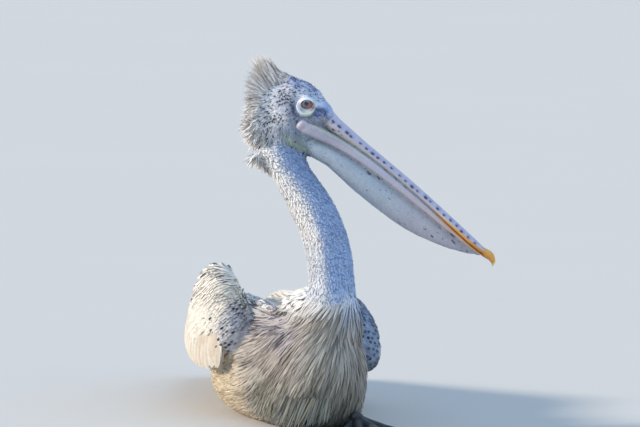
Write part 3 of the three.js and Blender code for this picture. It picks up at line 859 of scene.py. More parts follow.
SKIN_FINISH = skin_material()
skin = add_piece("skin", skin_mesh, SKIN_FINISH, "pale_plumage", *FLESH)
print("Skin replaces", len(FLESH), "nodes")

# %% [markdown]
# ## The eyes
# An eye is a glossy ball that sits deep behind its lids. Its pupil and iris are rings round its own axis,
# which a shader can draw from the distance to that axis. A low clear bulge over the iris catches the light.

# %% Eyes


def ball_mesh(name, radius, bulge, around=48, rings=32):
    """A ball whose pole along +Z rises a little, as a cornea does."""
    polar = np.linspace(0, math.pi, rings + 1)[1:-1]
    turn = np.arange(around) * 2 * math.pi / around
    grid_polar, grid_turn = np.meshgrid(polar, turn, indexing="ij")
    reach = radius + bulge * np.exp(-(grid_polar / 0.38) ** 2)
    points = rows_of(
        reach * np.sin(grid_polar) * np.cos(grid_turn),
        reach * np.sin(grid_polar) * np.sin(grid_turn),
        reach * np.cos(grid_polar),
    ).reshape(-1, 3)
    points = np.concatenate((points, [(0, 0, radius + bulge), (0, 0, -radius)]))
    faces = grid_faces(rings - 1, around, closed=True)
    top, bottom, last = len(points) - 2, len(points) - 1, (rings - 2) * around
    i = np.arange(around)
    after = (i + 1) % around
    caps = np.concatenate((
        rows_of(top, i, after),
        rows_of(bottom, last + after, last + i),
    ))
    return mesh_from(name, points, np.concatenate((faces, caps)))


def grid_faces(rows, columns, closed=False):
    """Triangles over a grid of points, row by row; closed joins the last column to the first."""
    spans = columns if closed else columns - 1
    row, column = np.meshgrid(np.arange(rows - 1), np.arange(spans), indexing="ij")
    a = (row * columns + column).ravel()
    b = (row * columns + (column + 1) % columns).ravel()
    return np.concatenate((
        rows_of(a, a + columns, b + columns), rows_of(a, b + columns, b)))


def eye_material():
    finish = Finish("wet_eye")
    x, y, _ = finish.add("ShaderNodeSeparateXYZ", {"Vector": finish.place}).outputs
    flat = finish.add("ShaderNodeCombineXYZ", {0: x, 1: y}).outputs[0]
    from_axis = finish.add("ShaderNodeVectorMath", {0: flat}, operation="LENGTH").outputs["Value"]

    def ring(low, high):
        return finish.between(from_axis, low * MM, high * MM)

    streaks = finish.mottled(finish.place, 700, 0.35, 0.65)
    iris = finish.blend(streaks, (0.1, 0.09, 0.085), (0.2, 0.195, 0.2))
    iris = finish.blend(ring(4, 6.3), iris, (0.06, 0.055, 0.055))
    colour = finish.blend(ring(2.7, 3.3), (0.004, 0.004, 0.006), iris)
    colour = finish.over(colour, ring(4.6, 5.6), finish.read("corner", "Fac"), (0.5, 0.045, 0.075))
    return finish.done(colour, 0.06, Coat_Weight=1, Coat_Roughness=0.03)


EYE_FINISH = eye_material()


def make_eye(side, sign):
    mesh = ball_mesh(f"eyeball_{side}", (EYE_RADIUS - 0.2) * MM, 0.7 * MM)
    outward = HEAD.to_3x3() @ Vector((0.1, sign, 0.02))
    place = Matrix.Translation(eye_middle[side]) @ outward.to_track_quat("Z", "Y").to_matrix().to_4x4()
    x, _, z = into(HEAD, out_of(place, points_of(mesh)[0] / MM)).T
    colour_points(mesh, "corner", bell(np.arctan2(z, x) + 0.62, 0.62)[:, None] * np.ones(3))
    return add_piece(f"eyeball_{side}", mesh, EYE_FINISH, "eye", f"eye_{side}", place=place)


SIDES = {"right": -1, "left": 1}
eyes = [make_eye(side, sign) for side, sign in SIDES.items()]
print("Eyes:", [eye.name for eye in eyes])

# %% [markdown]
# ## The eyelids and the ring round them
# The lids are a lofted band of bare skin. Its inner line is the almond of the opening, its outer line the
# ring's edge, and a profile between them gives the rim, the dip behind it and the swollen ring.

# %% Eyelids
LID_AROUND = 96
LID_SEARCH = 60                  # how far out of the head the search for the skin starts
# Rows across the band: (share from the rim to the ring's edge, height over the ball or skin).
LID_PROFILE = (
    (-0.1, -1.2), (-0.02, 0.1), (0.03, 0.9), (0.08, 1.1), (0.14, 1), (0.2, 0.8), (0.27, 1),
    (0.4, 1.5), (0.55, 1.8), (0.7, 1.7), (0.82, 1.3), (0.92, 0.6), (1, -0.3), (1.08, -1.6),
)
skin_places, skin_faces = points_of(skin_mesh)[0], faces_of(skin_mesh)
skin_tree = tree_of(skin_places, skin_faces)
eye_aside = abs(into(HEAD, np.array([eye_middle["left"]]))[0, 1])


def side_depth(x, z, sign):
    """How far out the skin lies at places of the head seen from the side."""
    start = out_of(HEAD, rows_of(x, sign * LID_SEARCH, z))
    inward = HEAD.to_3x3() @ Vector((0, -sign, 0))
    hits = [skin_tree.ray_cast(Vector(p), inward, LID_SEARCH * MM)[3] for p in start.tolist()]
    return np.array([0 if hit is None else LID_SEARCH - hit / MM for hit in hits])


def almond(turn):
    """The opening of the lids, drawn out to a point in front and a blunter one behind."""
    reach = 1 + 0.16 * bell(turn + 0.28, 0.3)
    x = OPENING_MIDDLE[0] + OPENING_RADII[0] * np.cos(turn) * reach
    z = OPENING_MIDDLE[1] + OPENING_RADII[1] * np.sin(turn) * (1 + 0.1 * np.cos(turn) ** 2) * reach
    return x, z


def make_lids(side, sign):
    turn = np.linspace(-math.pi, math.pi, LID_AROUND, endpoint=False)
    inner_x, inner_z = almond(turn)
    outer_x = RING_MIDDLE[0] + RING_RADII[0] * np.cos(turn)
    outer_z = RING_MIDDLE[1] + RING_RADII[1] * np.sin(turn)
    outer_depth = side_depth(outer_x * 1.05, outer_z * 1.05, sign)
    rows, marks = [], []
    for share, height in LID_PROFILE:
        x = inner_x + (outer_x - inner_x) * share
        z = inner_z + (outer_z - inner_z) * share
        on_ball = eye_aside + np.sqrt(np.maximum(EYE_RADIUS ** 2 - x ** 2 - z ** 2, 0))
        toward_skin = ramp(share, 0.1, 0.75)
        depth = on_ball * (1 - toward_skin) + (outer_depth + 1 - share) * toward_skin
        wrinkle = 0.18 * np.sin(turn * 23 + share * 9) * ramp(share, 0.25, 0.5) * ramp(share, 1, 0.8)
        depth = np.maximum(depth, on_ball - 0.4) + height * (0.8 + 0.2 * np.cos(turn)) + wrinkle
        rows.append(rows_of(x, sign * depth, z))
        marks.append(rows_of(turn, share))
    faces = grid_faces(len(LID_PROFILE), LID_AROUND, closed=True)[:, ::sign]
    mesh = mesh_from(f"eyelids_{side}", out_of(HEAD, np.concatenate(rows)), faces)
    colour_points(mesh, "tint", lid_colour(*np.concatenate(marks).T))
    return add_piece(f"eyelids_{side}", mesh, SKIN_FINISH, "pale_plumage")


def lid_colour(turn, share):
    """Pink rim, red front corner, white ring behind and above, yellow-green in front and below."""
    return painted(
        "#f4f4f6", turn,
        ("#ccd39c", 0.9 * bell(turn + 0.35, 1)),
        ("#d5ddb8", 0.7 * bell(turn + 1.5, 0.7)),
        ("#8e7f8c", 0.85 * (1 - ramp(share, 0.02, 0.14))),
        ("#b23a52", bell(turn + 0.45, 0.42) * (1 - ramp(share, 0.02, 0.12))),
        ("#4b5b80", 0.85 * ramp(share, 0.88, 1)),
    )


for side, sign in SIDES.items():
    make_lids(side, sign)
print("Eyes stand", eye_aside.round(1), "mm from the head's middle")

# %% [markdown]
# ## The horn of the bill
# The upper bill is a long flat blade with a rounded keel and a hooked nail, and two thin rods of bone
# carry the pouch. Each is drawn as rings along the bill's own axis, as a boat is lofted from its frames.

# %% Horn of the bill
NAIL_ROWS = (
    (298, -3.4, -6, 3), (302, -2.4, -10, 7.5), (309, -0.6, -12.6, 9.4), (315, 0.3, -12, 8.4),
    (320.5, -1.2, -11.6, 6.2), (325.5, -4.6, -12.6, 4.2), (328.4, -8.4, -14.6, 2.6), (329.2, -12, -15, 0.8),
)
SPOT_STOPS = np.arange(14, 290, 12.3)                # along the bill
SPOT_RADII = (3, 1.7)
SPOT_SHARE = 0.31                # where the row of spots runs, of the horn's height
# A few more spots near the bill's base: (along, below the row, size).
BASE_SPOTS = ((22, 9.5, 0.85), (14, 4, 0.45), (29, 6, 0.5), (12, 12, 0.5), (36, 8, 0.4), (61, 9, 0.45))


def lofted(rows, stations, around, full, shape):
    """Rings along the bill: their points in its frame, and (along, share of height, side) marks."""
    along = np.linspace(rows[0][0], rows[-1][0], stations)
    top, bottom, half_width = smooth_table(rows)(along).T[:, :, None]
    turn = np.arange(around) * 2 * math.pi / around
    across, high = np.sin(turn), np.cos(turn)
    side = half_width * np.sign(across) * np.abs(across) ** (2 / full)
    tall = np.sign(high) * np.abs(high) ** (2 / full)
    height = (top + bottom) / 2 + (top - bottom) / 2 * tall
    share = 0.5 - 0.5 * np.broadcast_to(tall, height.shape)
    x = np.broadcast_to(along[:, None], height.shape)
    if shape:
        side, height = shape(x, side, height, share, half_width)
    points = rows_of(x, side, height).reshape(-1, 3)
    return points, rows_of(x, share, side).reshape(-1, 3)


def capped_faces(stations, around):
    """Faces of a tube of rings, with a fan closing each end."""
    tube = grid_faces(stations, around, closed=True)
    i = np.arange(1, around - 1)
    last = (stations - 1) * around
    start_fan = rows_of(0, i, i + 1)
    end_fan = rows_of(last, last + i + 1, last + i)
    return np.concatenate((tube, start_fan, end_fan))


def upper_shape(x, side, height, share, half_width):
    """A keel along the top, a shallow groove beside it and a lip at the cutting edge."""
    aside = np.abs(side) / half_width
    groove = bell(aside - 0.42, 0.13) * ramp(x, 30, 90)
    height = height + (0.9 * bell(aside, 0.17) - groove) * (1 - ramp(share, 0.25, 0.5))
    return side + np.sign(side) * (0.7 * bell(share - 0.9, 0.05) - 0.5 * bell(share - 0.76, 0.06)), height


def lower_shape(x, side, height, share, half_width):
    """A rounded rod with a furrow just under its top."""
    return side - np.sign(side) * 0.6 * bell(share - 0.24, 0.06) * ramp(x, -5, 20), height


def bill_spots(x, share, sides):
    """How dark each place is with the row of spots, and with the lilac smear behind each spot."""
    top, bottom, _ = horn_at(UPPER_BILL_ROWS, x)
    below = (share - SPOT_SHARE) * (top - bottom)
    spot, smear = np.zeros(len(x)), np.zeros(len(x))
    draw = np.random.default_rng(11)
    for side in (-1, 1):
        on_side = np.sign(sides) == side
        row = [(at + draw.normal(0, 1.8), draw.normal(0, 0.5), draw.uniform(0.75, 1.25)) for at in SPOT_STOPS]
        for at, low, size in row + list(BASE_SPOTS):
            away = np.hypot((x - at) / (SPOT_RADII[0] * size), (below - low) / (SPOT_RADII[1] * size))
            uneven = 0.22 * np.sin(x * 1.9 + at) * np.sin(below * 2.6 + at)
            spot = np.maximum(spot, on_side * (1 - ramp(away + uneven, 0.6, 1.2)))
            trail = np.hypot((x - at - 1) / (6 * size), (below - low + 1.2) / (2.6 * size))
            smear = np.maximum(smear, on_side * (1 - ramp(trail, 0.3, 1.3)))
    return spot, smear


def upper_bill_colour(x, share, side):
    spot, smear = bill_spots(x, share, side)
    orange_from = np.interp(x, (190, 250, 300), (0.76, 0.5, 0.3))
    return painted(
        "#c3bed0", x,
        ("#cdc6c8", ramp(share, 0.35, 0.6)),
        ("#c0b3b4", 0.7 * ramp(x, 75, 20) * ramp(share, 0.4, 0.7)),
        ("#8f86b8", 0.55 * smear), ("#26243f", 0.95 * spot),
        ("#ecd774", 0.9 * ramp(share, 0.82, 0.88) * ramp(x, 35, 90)),
        ("#f0a93c", ramp(share, orange_from, orange_from + 0.12) * ramp(x, 185, 225)),
        ("#3d3a3e", 0.85 * ramp(share, 0.945, 0.975) * ramp(x, 280, 230)),
    )


def lower_bill_colour(x, share, _):
    return painted(
        "#bdb5c0", x,
        ("#d3cbd6", 0.6 * ramp(x, 30, 70)), ("#cfbfc2", 0.7 * ramp(x, 100, 190)),
        ("#8d8c84", 0.5 * bell(share - 0.3, 0.04) * ramp(x, -12, 10) * ramp(x, 90, 50)),
        ("#cdd09a", 0.75 * ramp(share, 0.17, 0.07) * ramp(x, -16, -4) * ramp(x, 120, 60)),
        ("#eebb66", ramp(x, 195, 250) * ramp(share, 0.6, 0.25)),
        ("#f0a93c", ramp(x, 245, 290) * ramp(share, 0.9, 0.5)),
        ("#4b5060", 0.85 * ramp(share, 0.9, 0.97)),
    )


def nail_colour(x, share, _):
    return painted("#f0a93c", x, ("#d98a2c", 0.6 * ramp(share, 0.45, 0.9)), ("#e6dc86", ramp(x, 325, 328.5)))


def horn_material(name, roughness, streak_share):
    """Hard skin of the bill: colour rules, faint streaks along the grain and a satin shine."""
    finish = Finish(name)
    grain = finish.add("ShaderNodeUVMap", uv_map="grain").outputs["UV"]
    streaks = finish.mottled(grain, 9, 0.35, 0.7)
    colour = finish.over(finish.read("tint"), streaks, streak_share, (0.2, 0.19, 0.26))
    clouds = finish.mottled(finish.place, 130, 0.4, 0.75)
    colour = finish.over(colour, clouds, 0.2, (0.66, 0.66, 0.7))
    finish.bump(streaks, 0.25, 0.5)
    return finish.done(colour, finish.rough(streaks, 0.15, roughness), Specular_IOR_Level=0.4)


HORN_FINISH = horn_material("bill_horn", 0.42, 0.16)
NAIL_FINISH = horn_material("nail_horn", 0.3, 0.1)


def make_horn(name, rows, stations, around, full, colour, finish, slot, node, shape=None):
    points, marks = lofted(rows, stations, around, full, shape)
    mesh = mesh_from(name, out_of(BILL, points), capped_faces(stations, around))
    along, share, side = marks.T
    colour_points(mesh, "tint", colour(along, share, side))
    map_points(mesh, "grain", rows_of(along * 0.025, share * 4 + np.sign(side)))
    return add_piece(name, mesh, finish, slot, node)


upper_bill = make_horn("upper_bill", UPPER_BILL_ROWS, 420, 84, UPPER_FULLNESS, upper_bill_colour,
                       HORN_FINISH, "bill_horn", "bill_upper", upper_shape)
lower_bill = make_horn("lower_bill", LOWER_BILL_ROWS, 260, 56, 3.8, lower_bill_colour,
                       HORN_FINISH, "ramus_horn", "bill_lower", lower_shape)
nail = make_horn("nail", NAIL_ROWS, 70, 40, 2.1, nail_colour, NAIL_FINISH, "nail_horn", "bill_nail")
print("Horn pieces:", upper_bill.name, lower_bill.name, nail.name)

# %% [markdown]
# ## Feet and claws
# A pelican's four toes are joined by one web. The toes are tubes with a swelling at each joint, the web is
# a set of curved sheets, and a voxel remesh melts them into one foot before the small scales are added.

# %% Feet
TOE_RADII = {"outer": 5.2 * MM, "middle": 5.6 * MM, "inner": 5.2 * MM, "hind": 4.2 * MM}
TOE_JOINTS = (0.24, 0.5, 0.74)   # where a toe swells, of its length
TOE_HEIGHT = 0.62                # of a toe's middle over the floor, of its radius
LEG_END = 4 * MM                 # the length of a leg's end that is averaged to find its middle
FOOT_VOXEL = 1.3 * MM


def tube(line, radii, around=14, flat=1):
    """A closed tube round a line of points, flattened in height by flat."""
    line, radii = np.asarray(line, float), np.asarray(radii, float)
    ahead = unit(np.gradient(line, axis=0))
    side = unit(np.cross(ahead, UP))
    upward = np.cross(side, ahead)
    turn = np.arange(around) * 2 * math.pi / around
    ring = side[:, None] * np.cos(turn)[None, :, None] + upward[:, None] * np.sin(turn)[None, :, None] * flat
    points = (line[:, None] + ring * radii[:, None, None]).reshape(-1, 3)
    return points, capped_faces(len(line), around)[:, ::-1]


def leg_end(side, way):
    """The middle of a leg node's end: way is -1 for the front, where the toes meet, and 1 behind."""
    points = node_arrays(f"leg_{side}")[0]
    reach = points[:, 1] * way
    return points[reach > reach.max() - LEG_END].mean(0)


def toe_line(knuckle, tip, radius, steps=26):
    t = np.linspace(0, 1, steps)
    line = knuckle + (tip - knuckle) * t[:, None]
    line[:, 2] = knuckle[2] * (1 - t) ** 1.6 + tip[2] * (1 - (1 - t) ** 1.6)
    joints = sum(bell(t - joint, 0.055) for joint in TOE_JOINTS)
    line[:, 2] = np.maximum(line[:, 2] - MM * joints, radius * TOE_HEIGHT)
    radii = radius * (1.25 - 0.5 * t) * (1 + 0.13 * joints) * np.minimum(1, np.sqrt((1.02 - t) * 9))
    return line, radii


def web_sheet(knuckle, first, second, rows=24, columns=18):
    """A thin sheet between two toes, hollow at its free edge and sagging between the toes."""
    t = np.linspace(0.04, 0.93, rows)[:, None]
    s = np.linspace(0, 1, columns)[None, :]
    swell = np.sin(math.pi * s) * t
    reach = t * (1 - 0.16 * np.sin(math.pi * s) * t ** 2)
    a, b = first - knuckle, second - knuckle
    flat = knuckle[None, None] + a * (reach * (1 - s))[..., None] + b * (reach * s)[..., None]
    flat[..., 2] = (11 * (1 - reach) ** 1.5 + 3.4 - 2 * swell + 0.5 * np.sin(s * 21) * swell) * MM
    half_thick = UP * 0.9 * MM
    faces = grid_faces(rows, columns)
    count = rows * columns
    rim = np.concatenate((
        np.arange(columns), np.arange(1, rows) * columns + columns - 1,
        (rows - 1) * columns + np.arange(columns - 2, -1, -1), np.arange(rows - 2, 0, -1) * columns,
    ))
    after = np.roll(rim, -1)
    wall = np.concatenate((
        rows_of(rim, after, after + count), rows_of(rim, after + count, rim + count)))
    points = np.concatenate((flat + half_thick, flat - half_thick)).reshape(-1, 3)
    return points, np.concatenate((faces, faces[:, ::-1] + count, wall))


def scale_foot(mesh, lines):
    """Raises rows of broad scales over the tops of the toes."""
    points, normals = points_of(mesh)
    lift = np.zeros(len(points))
    for knuckle, tip, radius in lines:
        ahead = (tip - knuckle)[:2]
        length = np.linalg.norm(ahead)
        along = (points - knuckle)[:, :2] @ ahead / length
        aside = np.abs((points - knuckle)[:, :2] @ np.array((ahead[1], -ahead[0])) / length)
        on_toe = (1 - ramp(aside, radius * 0.7, radius * 1.2)) * ramp(normals[:, 2], 0.1, 0.5)
        on_toe *= ramp(along, 2 * MM, 8 * MM) * ramp(along, length + 4 * MM, length)
        lift += 0.5 * MM * on_toe * np.abs(np.sin(along * math.pi / (3.1 * MM))) ** 0.5
    points += normals * lift[:, None]
    points[:, 2] = np.maximum(points[:, 2], 0)
    move_points(mesh, points)


def foot_material():
    finish = Finish("foot_scales")
    clouds = finish.mottled(finish.place, 60, 0.35, 0.65)
    colour = finish.blend(clouds, (0.017, 0.02, 0.025), (0.05, 0.055, 0.062))
    cells = {"Vector": finish.place, "Scale": 420}
    plates = finish.add("ShaderNodeTexVoronoi", cells, feature="DISTANCE_TO_EDGE").outputs["Distance"]
    seam = finish.between(plates, 0, 0.09)
    finish.bump(seam, 0.3, 0.7)
    colour = finish.blend(finish.rest(seam), colour, (0.13, 0.14, 0.15))
    return finish.done(colour, finish.rough(clouds, 0.2, 0.42))


FOOT_FINISH = foot_material()


def make_foot(side):
    knuckle = leg_end(side, -1)
    lines = []
    for toe, radius in TOE_RADII.items():
        tip = np.array(box_middle(f"claw_{toe}_{side}"))
        tip[2] = radius * TOE_HEIGHT
        lines.append((knuckle, tip, radius))
    parts = [tube(*toe_line(*line), flat=0.85) for line in lines]
    parts += [web_sheet(knuckle, first[1], second[1]) for first, second in zip(lines[:-1], lines[1:])]
    shank = knuckle + (leg_end(side, 1) - knuckle) * np.linspace(-0.08, 0.97, 20)[:, None]
    parts.append(tube(shank, np.linspace(8.2, 10, 20) * MM))
    mesh = melted(f"foot_skin_{side}", *gathered(parts), FOOT_VOXEL, 4)
    scale_foot(mesh, lines)
    return add_piece(f"foot_skin_{side}", mesh, FOOT_FINISH, "foot_skin", f"foot_{side}", f"leg_{side}")


feet = [make_foot(side) for side in SIDES]
print("Points in a foot:", len(feet[0].data.vertices))

# %% [markdown]
# ## Claws
# A claw is a short curved tube that starts inside the toe and follows its own node to a tip over the floor.

# %% Claws


def claw_material():
    finish = Finish("claw_horn")
    streaks = finish.mottled(finish.place, 260, 0.3, 0.7)
    colour = finish.blend(streaks, (0.035, 0.032, 0.03), (0.12, 0.105, 0.09))
    return finish.done(colour, finish.rough(streaks, 0.2, 0.28))


CLAW_FINISH = claw_material()


def make_claw(toe, side):
    node = f"claw_{toe}_{side}"
    middle = np.array(box_middle(node))
    ahead = unit((middle - leg_end(side, -1)) * np.array((1, 1, 0)))
    reach = np.abs((node_arrays(node)[0] - middle) @ ahead).max()
    t = np.linspace(-1.15, 1, 18)
    line = middle + ahead * reach * t[:, None]
    line[:, 2] = (3.6 - 2.7 * ramp(t, -0.6, 1)) * MM
    radii = (2.6 - 0.6 * np.maximum(t + 1, 0) ** 1.4) * MM * np.sqrt(np.clip((1 - t) * 4, 0.02, 1))
    points, faces = tube(line, radii, around=12, flat=0.85)
    points[:, 2] = np.maximum(points[:, 2], 0)
    return add_piece(f"nail_of_{toe}_toe_{side}", mesh_from(node, points, faces), CLAW_FINISH, "claw", node)


claws = [make_claw(toe, side) for side in SIDES for toe in TOE_RADII]
print("Claws:", len(claws))

# %% [markdown]
# ## How a feather is laid
# Each feather starts at a root on the skin and is walked over the surface in short steps, which gives the
# line of its shaft. The vane is spread to both sides of that line: wide or narrow by an outline, cupped
# over the shaft, and lifted toward its tip, so that it lies over the next roots like a roof tile.

# %% Feather tools
BAKE_PATCH = 0.003               # a feather's share of the side of its texture
PAST_EDGE = 0.35                 # of a step, where a feather runs out over an edge of the body
# Outlines as (share of the length, share of the width).
LANCE = ((0, 0.3), (0.2, 0.75), (0.45, 1), (0.7, 0.8), (0.9, 0.35), (1, 0.05))
OVAL = ((0, 0.35), (0.2, 0.8), (0.5, 1), (0.75, 0.95), (0.92, 0.6), (1, 0.15))
STRAP = ((0, 0.35), (0.12, 0.8), (0.4, 1), (0.8, 0.95), (0.94, 0.6), (1, 0.1))
WISP = ((0, 0.7), (0.3, 1), (0.7, 0.6), (1, 0.05))
face_middles = skin_places[skin_faces].mean(1)
face_labels = node_at(face_middles)
face_x, face_y, face_z = into(BODY, face_middles).T


def on_node(*names):
    """Which triangles of the skin belong to some CAD nodes."""
    return np.isin(face_labels, names)


def scattered(chosen, spacing):
    """Roots at random over the chosen triangles of the skin, no two nearer than the spacing."""
    spacing = spacing * MM
    corners = skin_places[skin_faces[chosen]]
    first, second = corners[:, 1] - corners[:, 0], corners[:, 2] - corners[:, 0]
    sizes = np.linalg.norm(np.cross(first, second), axis=1) / 2
    wanted = int(sizes.sum() / spacing ** 2 * 2.4)
    pick = rng.choice(len(corners), wanted, p=sizes / sizes.sum())
    a, b = rng.random((2, wanted, 1))
    flip = a + b > 1
    a, b = np.where(flip, 1 - a, a), np.where(flip, 1 - b, b)
    spots = corners[pick, 0] + a * first[pick] + b * second[pick]
    steps = (-1, 0, 1)
    around = [(i, j, k) for i in steps for j in steps for k in steps]
    cells = np.floor(spots / spacing).astype(int).tolist()
    taken, kept = {}, []
    for order, (spot, (i, j, k)) in enumerate(zip(spots.tolist(), cells)):
        near = (taken.get((i + di, j + dj, k + dk)) for di, dj, dk in around)
        if all(other is None or math.dist(spot, other) >= spacing for other in near):
            taken[(i, j, k)] = spot
            kept.append(order)
    return spots[kept]


def walked(roots, directions, lengths, steps, turn_to=None):
    """Lines over the skin from the roots: their places and the skin's normals, step by step."""
    place, normal, _ = nearest(skin_tree, roots)
    places, normals = [place], [normal]
    ahead = np.array(directions, float)
    for _ in range(steps):
        if turn_to is not None:
            ahead = unit(ahead) * 0.5 + unit(turn_to(place)) * 0.5
        ahead = unit(ahead - normal * dot(ahead, normal)[:, None])
        step = ahead * (lengths * MM / steps)[:, None]
        on_skin, normal_there, _ = nearest(skin_tree, place + step)
        same_side = (dot(normal_there, normal) > 0.15)[:, None]
        place = np.where(same_side, on_skin, place + step * PAST_EDGE)
        normal = np.where(same_side, unit(normal_there + normal), normal)
        places.append(place)
        normals.append(normal)
    return np.stack(places, 1), np.stack(normals, 1)


def vane_faces(rows, columns):
    """Triangles of one vane: rows of points across it, closed at the tip by one point."""
    last, tip = (rows - 1) * (columns + 1), rows * (columns + 1)
    cap = [(last + c, tip, last + c + 1) for c in range(columns)]
    return np.concatenate((grid_faces(rows, columns + 1), cap))


def spread_vanes(lines, normals, widths, outline, rows, columns, tint, marks, base, rise, flick, cup,
                 ripple=0, lean=0, bend=0):
    """
    A group of vanes: their points, and their places across and along the vane. Heights are over the
    skin, in millimetres: base at the root, rise more at the tip, and flick for a tip that stands
    out. Cup, ripple and lean are shares of the width: edges down, edges waved, and one edge raised.
    """
    count, stops = lines.shape[:2]

    def column(value):
        return np.broadcast_to(np.asarray(value, float), (count,))[:, None]

    t = np.append(np.linspace(0, 1, rows, endpoint=False), 1)
    at = t * (stops - 1)
    low = np.minimum(at.astype(int), stops - 2)
    part = (at - low)[None, :, None]
    spine = lines[:, low] * (1 - part) + lines[:, low + 1] * part
    normal = unit(normals[:, low] * (1 - part) + normals[:, low + 1] * part)
    aside = unit(np.cross(normal, unit(np.gradient(spine, axis=1))))
    height = (column(base) + column(rise) * t + column(flick) * t ** 3) * MM
    spine = spine + normal * height[..., None] + aside * (column(bend) * t ** 2 * MM)[..., None]
    half = (column(widths) * 0.5 * MM * np.interp(t, *zip(*outline)))[..., None]
    across = np.linspace(-1, 1, columns + 1)
    wave = column(ripple)[..., None] * np.sin(t[:, None] * 9 + across * 2 + np.arange(count)[:, None, None])
    drop = -column(cup)[..., None] * across ** 2 + column(lean)[..., None] * across + wave * np.abs(across)
    points = spine[:, :, None] + aside[:, :, None] * (half * across)[..., None]
    points = points + normal[:, :, None] * (half * drop)[..., None]
    points = np.concatenate((points[:, :-1].reshape(count, -1, 3), spine[:, -1:]), 1)
    vane = np.stack(np.broadcast_arrays((across + 1) / 2, t[:-1, None]), -1).reshape(-1, 2)
    vane = np.concatenate((vane, [(0.5, 1)]))
    return dict(points=points, vane=vane, rows=rows, columns=columns, tint=tint, marks=marks)


def vane_group(roots, directions, lengths, widths, outline, rows, columns, steps, tint, marks,
               turn_to=None, keep_off=None, **heights):
    """Walks the lines and spreads the vanes of one kind, less those that end on what to keep off."""
    lines, normals = walked(roots, directions, lengths, steps, turn_to)
    group = spread_vanes(lines, normals, widths, outline, rows, columns, tint, marks, **heights)
    if keep_off:
        free = np.char.find(node_at(lines[:, -1]), keep_off) < 0
        for key in ("points", "tint", "marks"):
            group[key] = group[key][free]
    return group


def free_group(roots, ways, facings, widths, outline, rows, columns, tint, marks, curl, **heights):
    """Feathers that leave the skin, along lines that start one way and curl another."""
    t = np.linspace(0, 1, 6)[:, None]
    lines = roots[:, None] + (ways[:, None] * t + curl[:, None] * t ** 2) * MM
    normals = np.repeat(unit(facings)[:, None], 6, 1)
    return spread_vanes(lines, normals, widths, outline, rows, columns, tint, marks, **heights)


def unwrapped(points, fitted, start, end):
    """Places on an unwrap round a line, so that the fitted points fill the whole texture."""
    axis = unit(end - start)
    side = unit(np.cross(axis, UP + 0.01))
    turn = np.arctan2((points - start) @ np.cross(axis, side), (points - start) @ side)
    span = (fitted - start) @ axis
    along = ((points - start) @ axis - span.min()) / (span.max() - span.min())
    places = rows_of(turn / (2 * math.pi) + 0.5, along)
    return np.clip(places * 0.96 + 0.02, 0.005, 0.995)


def lay_coat(name, groups, line, finish, slot, *nodes):
    """
    One piece of the coat from groups of vanes, with a patch of the texture for each vane at its
    root's place on an unwrap round a line. The unwrap is fitted to the biggest group.
    """
    fitted = max(groups, key=lambda group: len(group["points"]))["points"][:, 0]
    parts = []
    stored = {"OFBake": [], "vane": [], "tint": [], "marks": []}
    for group in groups:
        many, each = group["points"].shape[:2]
        faces = vane_faces(group["rows"], group["columns"]) + np.arange(many)[:, None, None] * each
        parts.append((group["points"].reshape(-1, 3), faces.reshape(-1, 3)))
        middle = unwrapped(group["points"][:, 0], fitted, *line)[:, None]
        stored["OFBake"].append((middle + (group["vane"] - 0.5) * BAKE_PATCH).reshape(-1, 2))
        stored["vane"].append(np.tile(group["vane"], (many, 1)))
        stored["tint"].append(np.repeat(group["tint"], each, 0))
        stored["marks"].append(np.repeat(group["marks"], each, 0))
    points, faces = gathered(parts)
    points[:, 2] = np.maximum(points[:, 2], LEAST_HEIGHT)
    mesh = mesh_from(name, points, faces)
    for label, values in stored.items():
        store = map_points if label in ("OFBake", "vane") else colour_points
        store(mesh, label, np.concatenate(values))
    piece = add_piece(name, mesh, finish, slot, *nodes)
    print(name, "has", len(mesh.polygons), "triangles")
    return piece


print("Skin triangles:", len(skin_faces))

# %% [markdown]
# ## Feather finish
# All feathers share one material. It adds what a real vane shows: a darker streak along the shaft, a dark
# spot near the tip on some, pale worn edges and fine barbs. It also paints shade over the lower part of the
# vane, where it lies under others. How strong each mark is comes with the feather.

# %% Feather material


def feather_material(name, roughness, barbs):
    finish = Finish(name)
    parts = finish.group(FEATHER_PARTS, Shaft_Width=0.55, Barbs=barbs)
    along, tint = parts["Along"], finish.read("tint")
    streaked, spotted, painted_root_shade = finish.split(finish.read("marks"))[:3]

    def span(start, full, fade, end):
        """A part of the vane's length, from 0 to 1 and back to 0."""
        return finish.times(finish.between(along, start, full), finish.rest(finish.between(along, fade, end)))

    clouds = finish.mottled(finish.place, 160, 0.35, 0.7)
    colour = finish.over(tint, clouds, 0.18, (0.35, 0.33, 0.33))
    paleness = finish.add("ShaderNodeRGBToBW", {"Color": tint}).outputs[0]
    colour = finish.over(colour, finish.times(parts["Edge"], 0.5), paleness, (0.86, 0.84, 0.81))
    # Painted shade over the lower part of the vane, where it lies under the feathers above it.
    low_part = finish.rest(finish.between(along, 0, 0.75))
    colour = finish.over(colour, low_part, painted_root_shade, (0.2, 0.165, 0.15))
    streak = finish.times(parts["Shaft"], span(0.25, 0.5, 0.86, 0.98))
    colour = finish.over(colour, streak, streaked, (0.115, 0.1, 0.095))
    narrow = finish.rest(finish.between(parts["Aside"], 0.42, 0.72))
    spot = finish.times(span(0.5, 0.62, 0.88, 0.97), narrow)
    colour = finish.over(colour, spot, spotted, (0.022, 0.026, 0.048))
    finish.bump(parts["Barb Height"], 0.25, 0.4)
    return finish.done(colour, finish.rough(clouds, 0.15, roughness), Specular_IOR_Level=0.25,
                       Sheen_Weight=0.15, Sheen_Roughness=0.5)


DOWN_FINISH = feather_material("soft_down", 0.75, 9)
VANE_FINISH = feather_material("vaned_feathers", 0.6, 38)


def shades(count, spread_of):
    """A shade for each feather, as a factor near 1."""
    return 1 + rng.normal(0, spread_of, (count, 1))


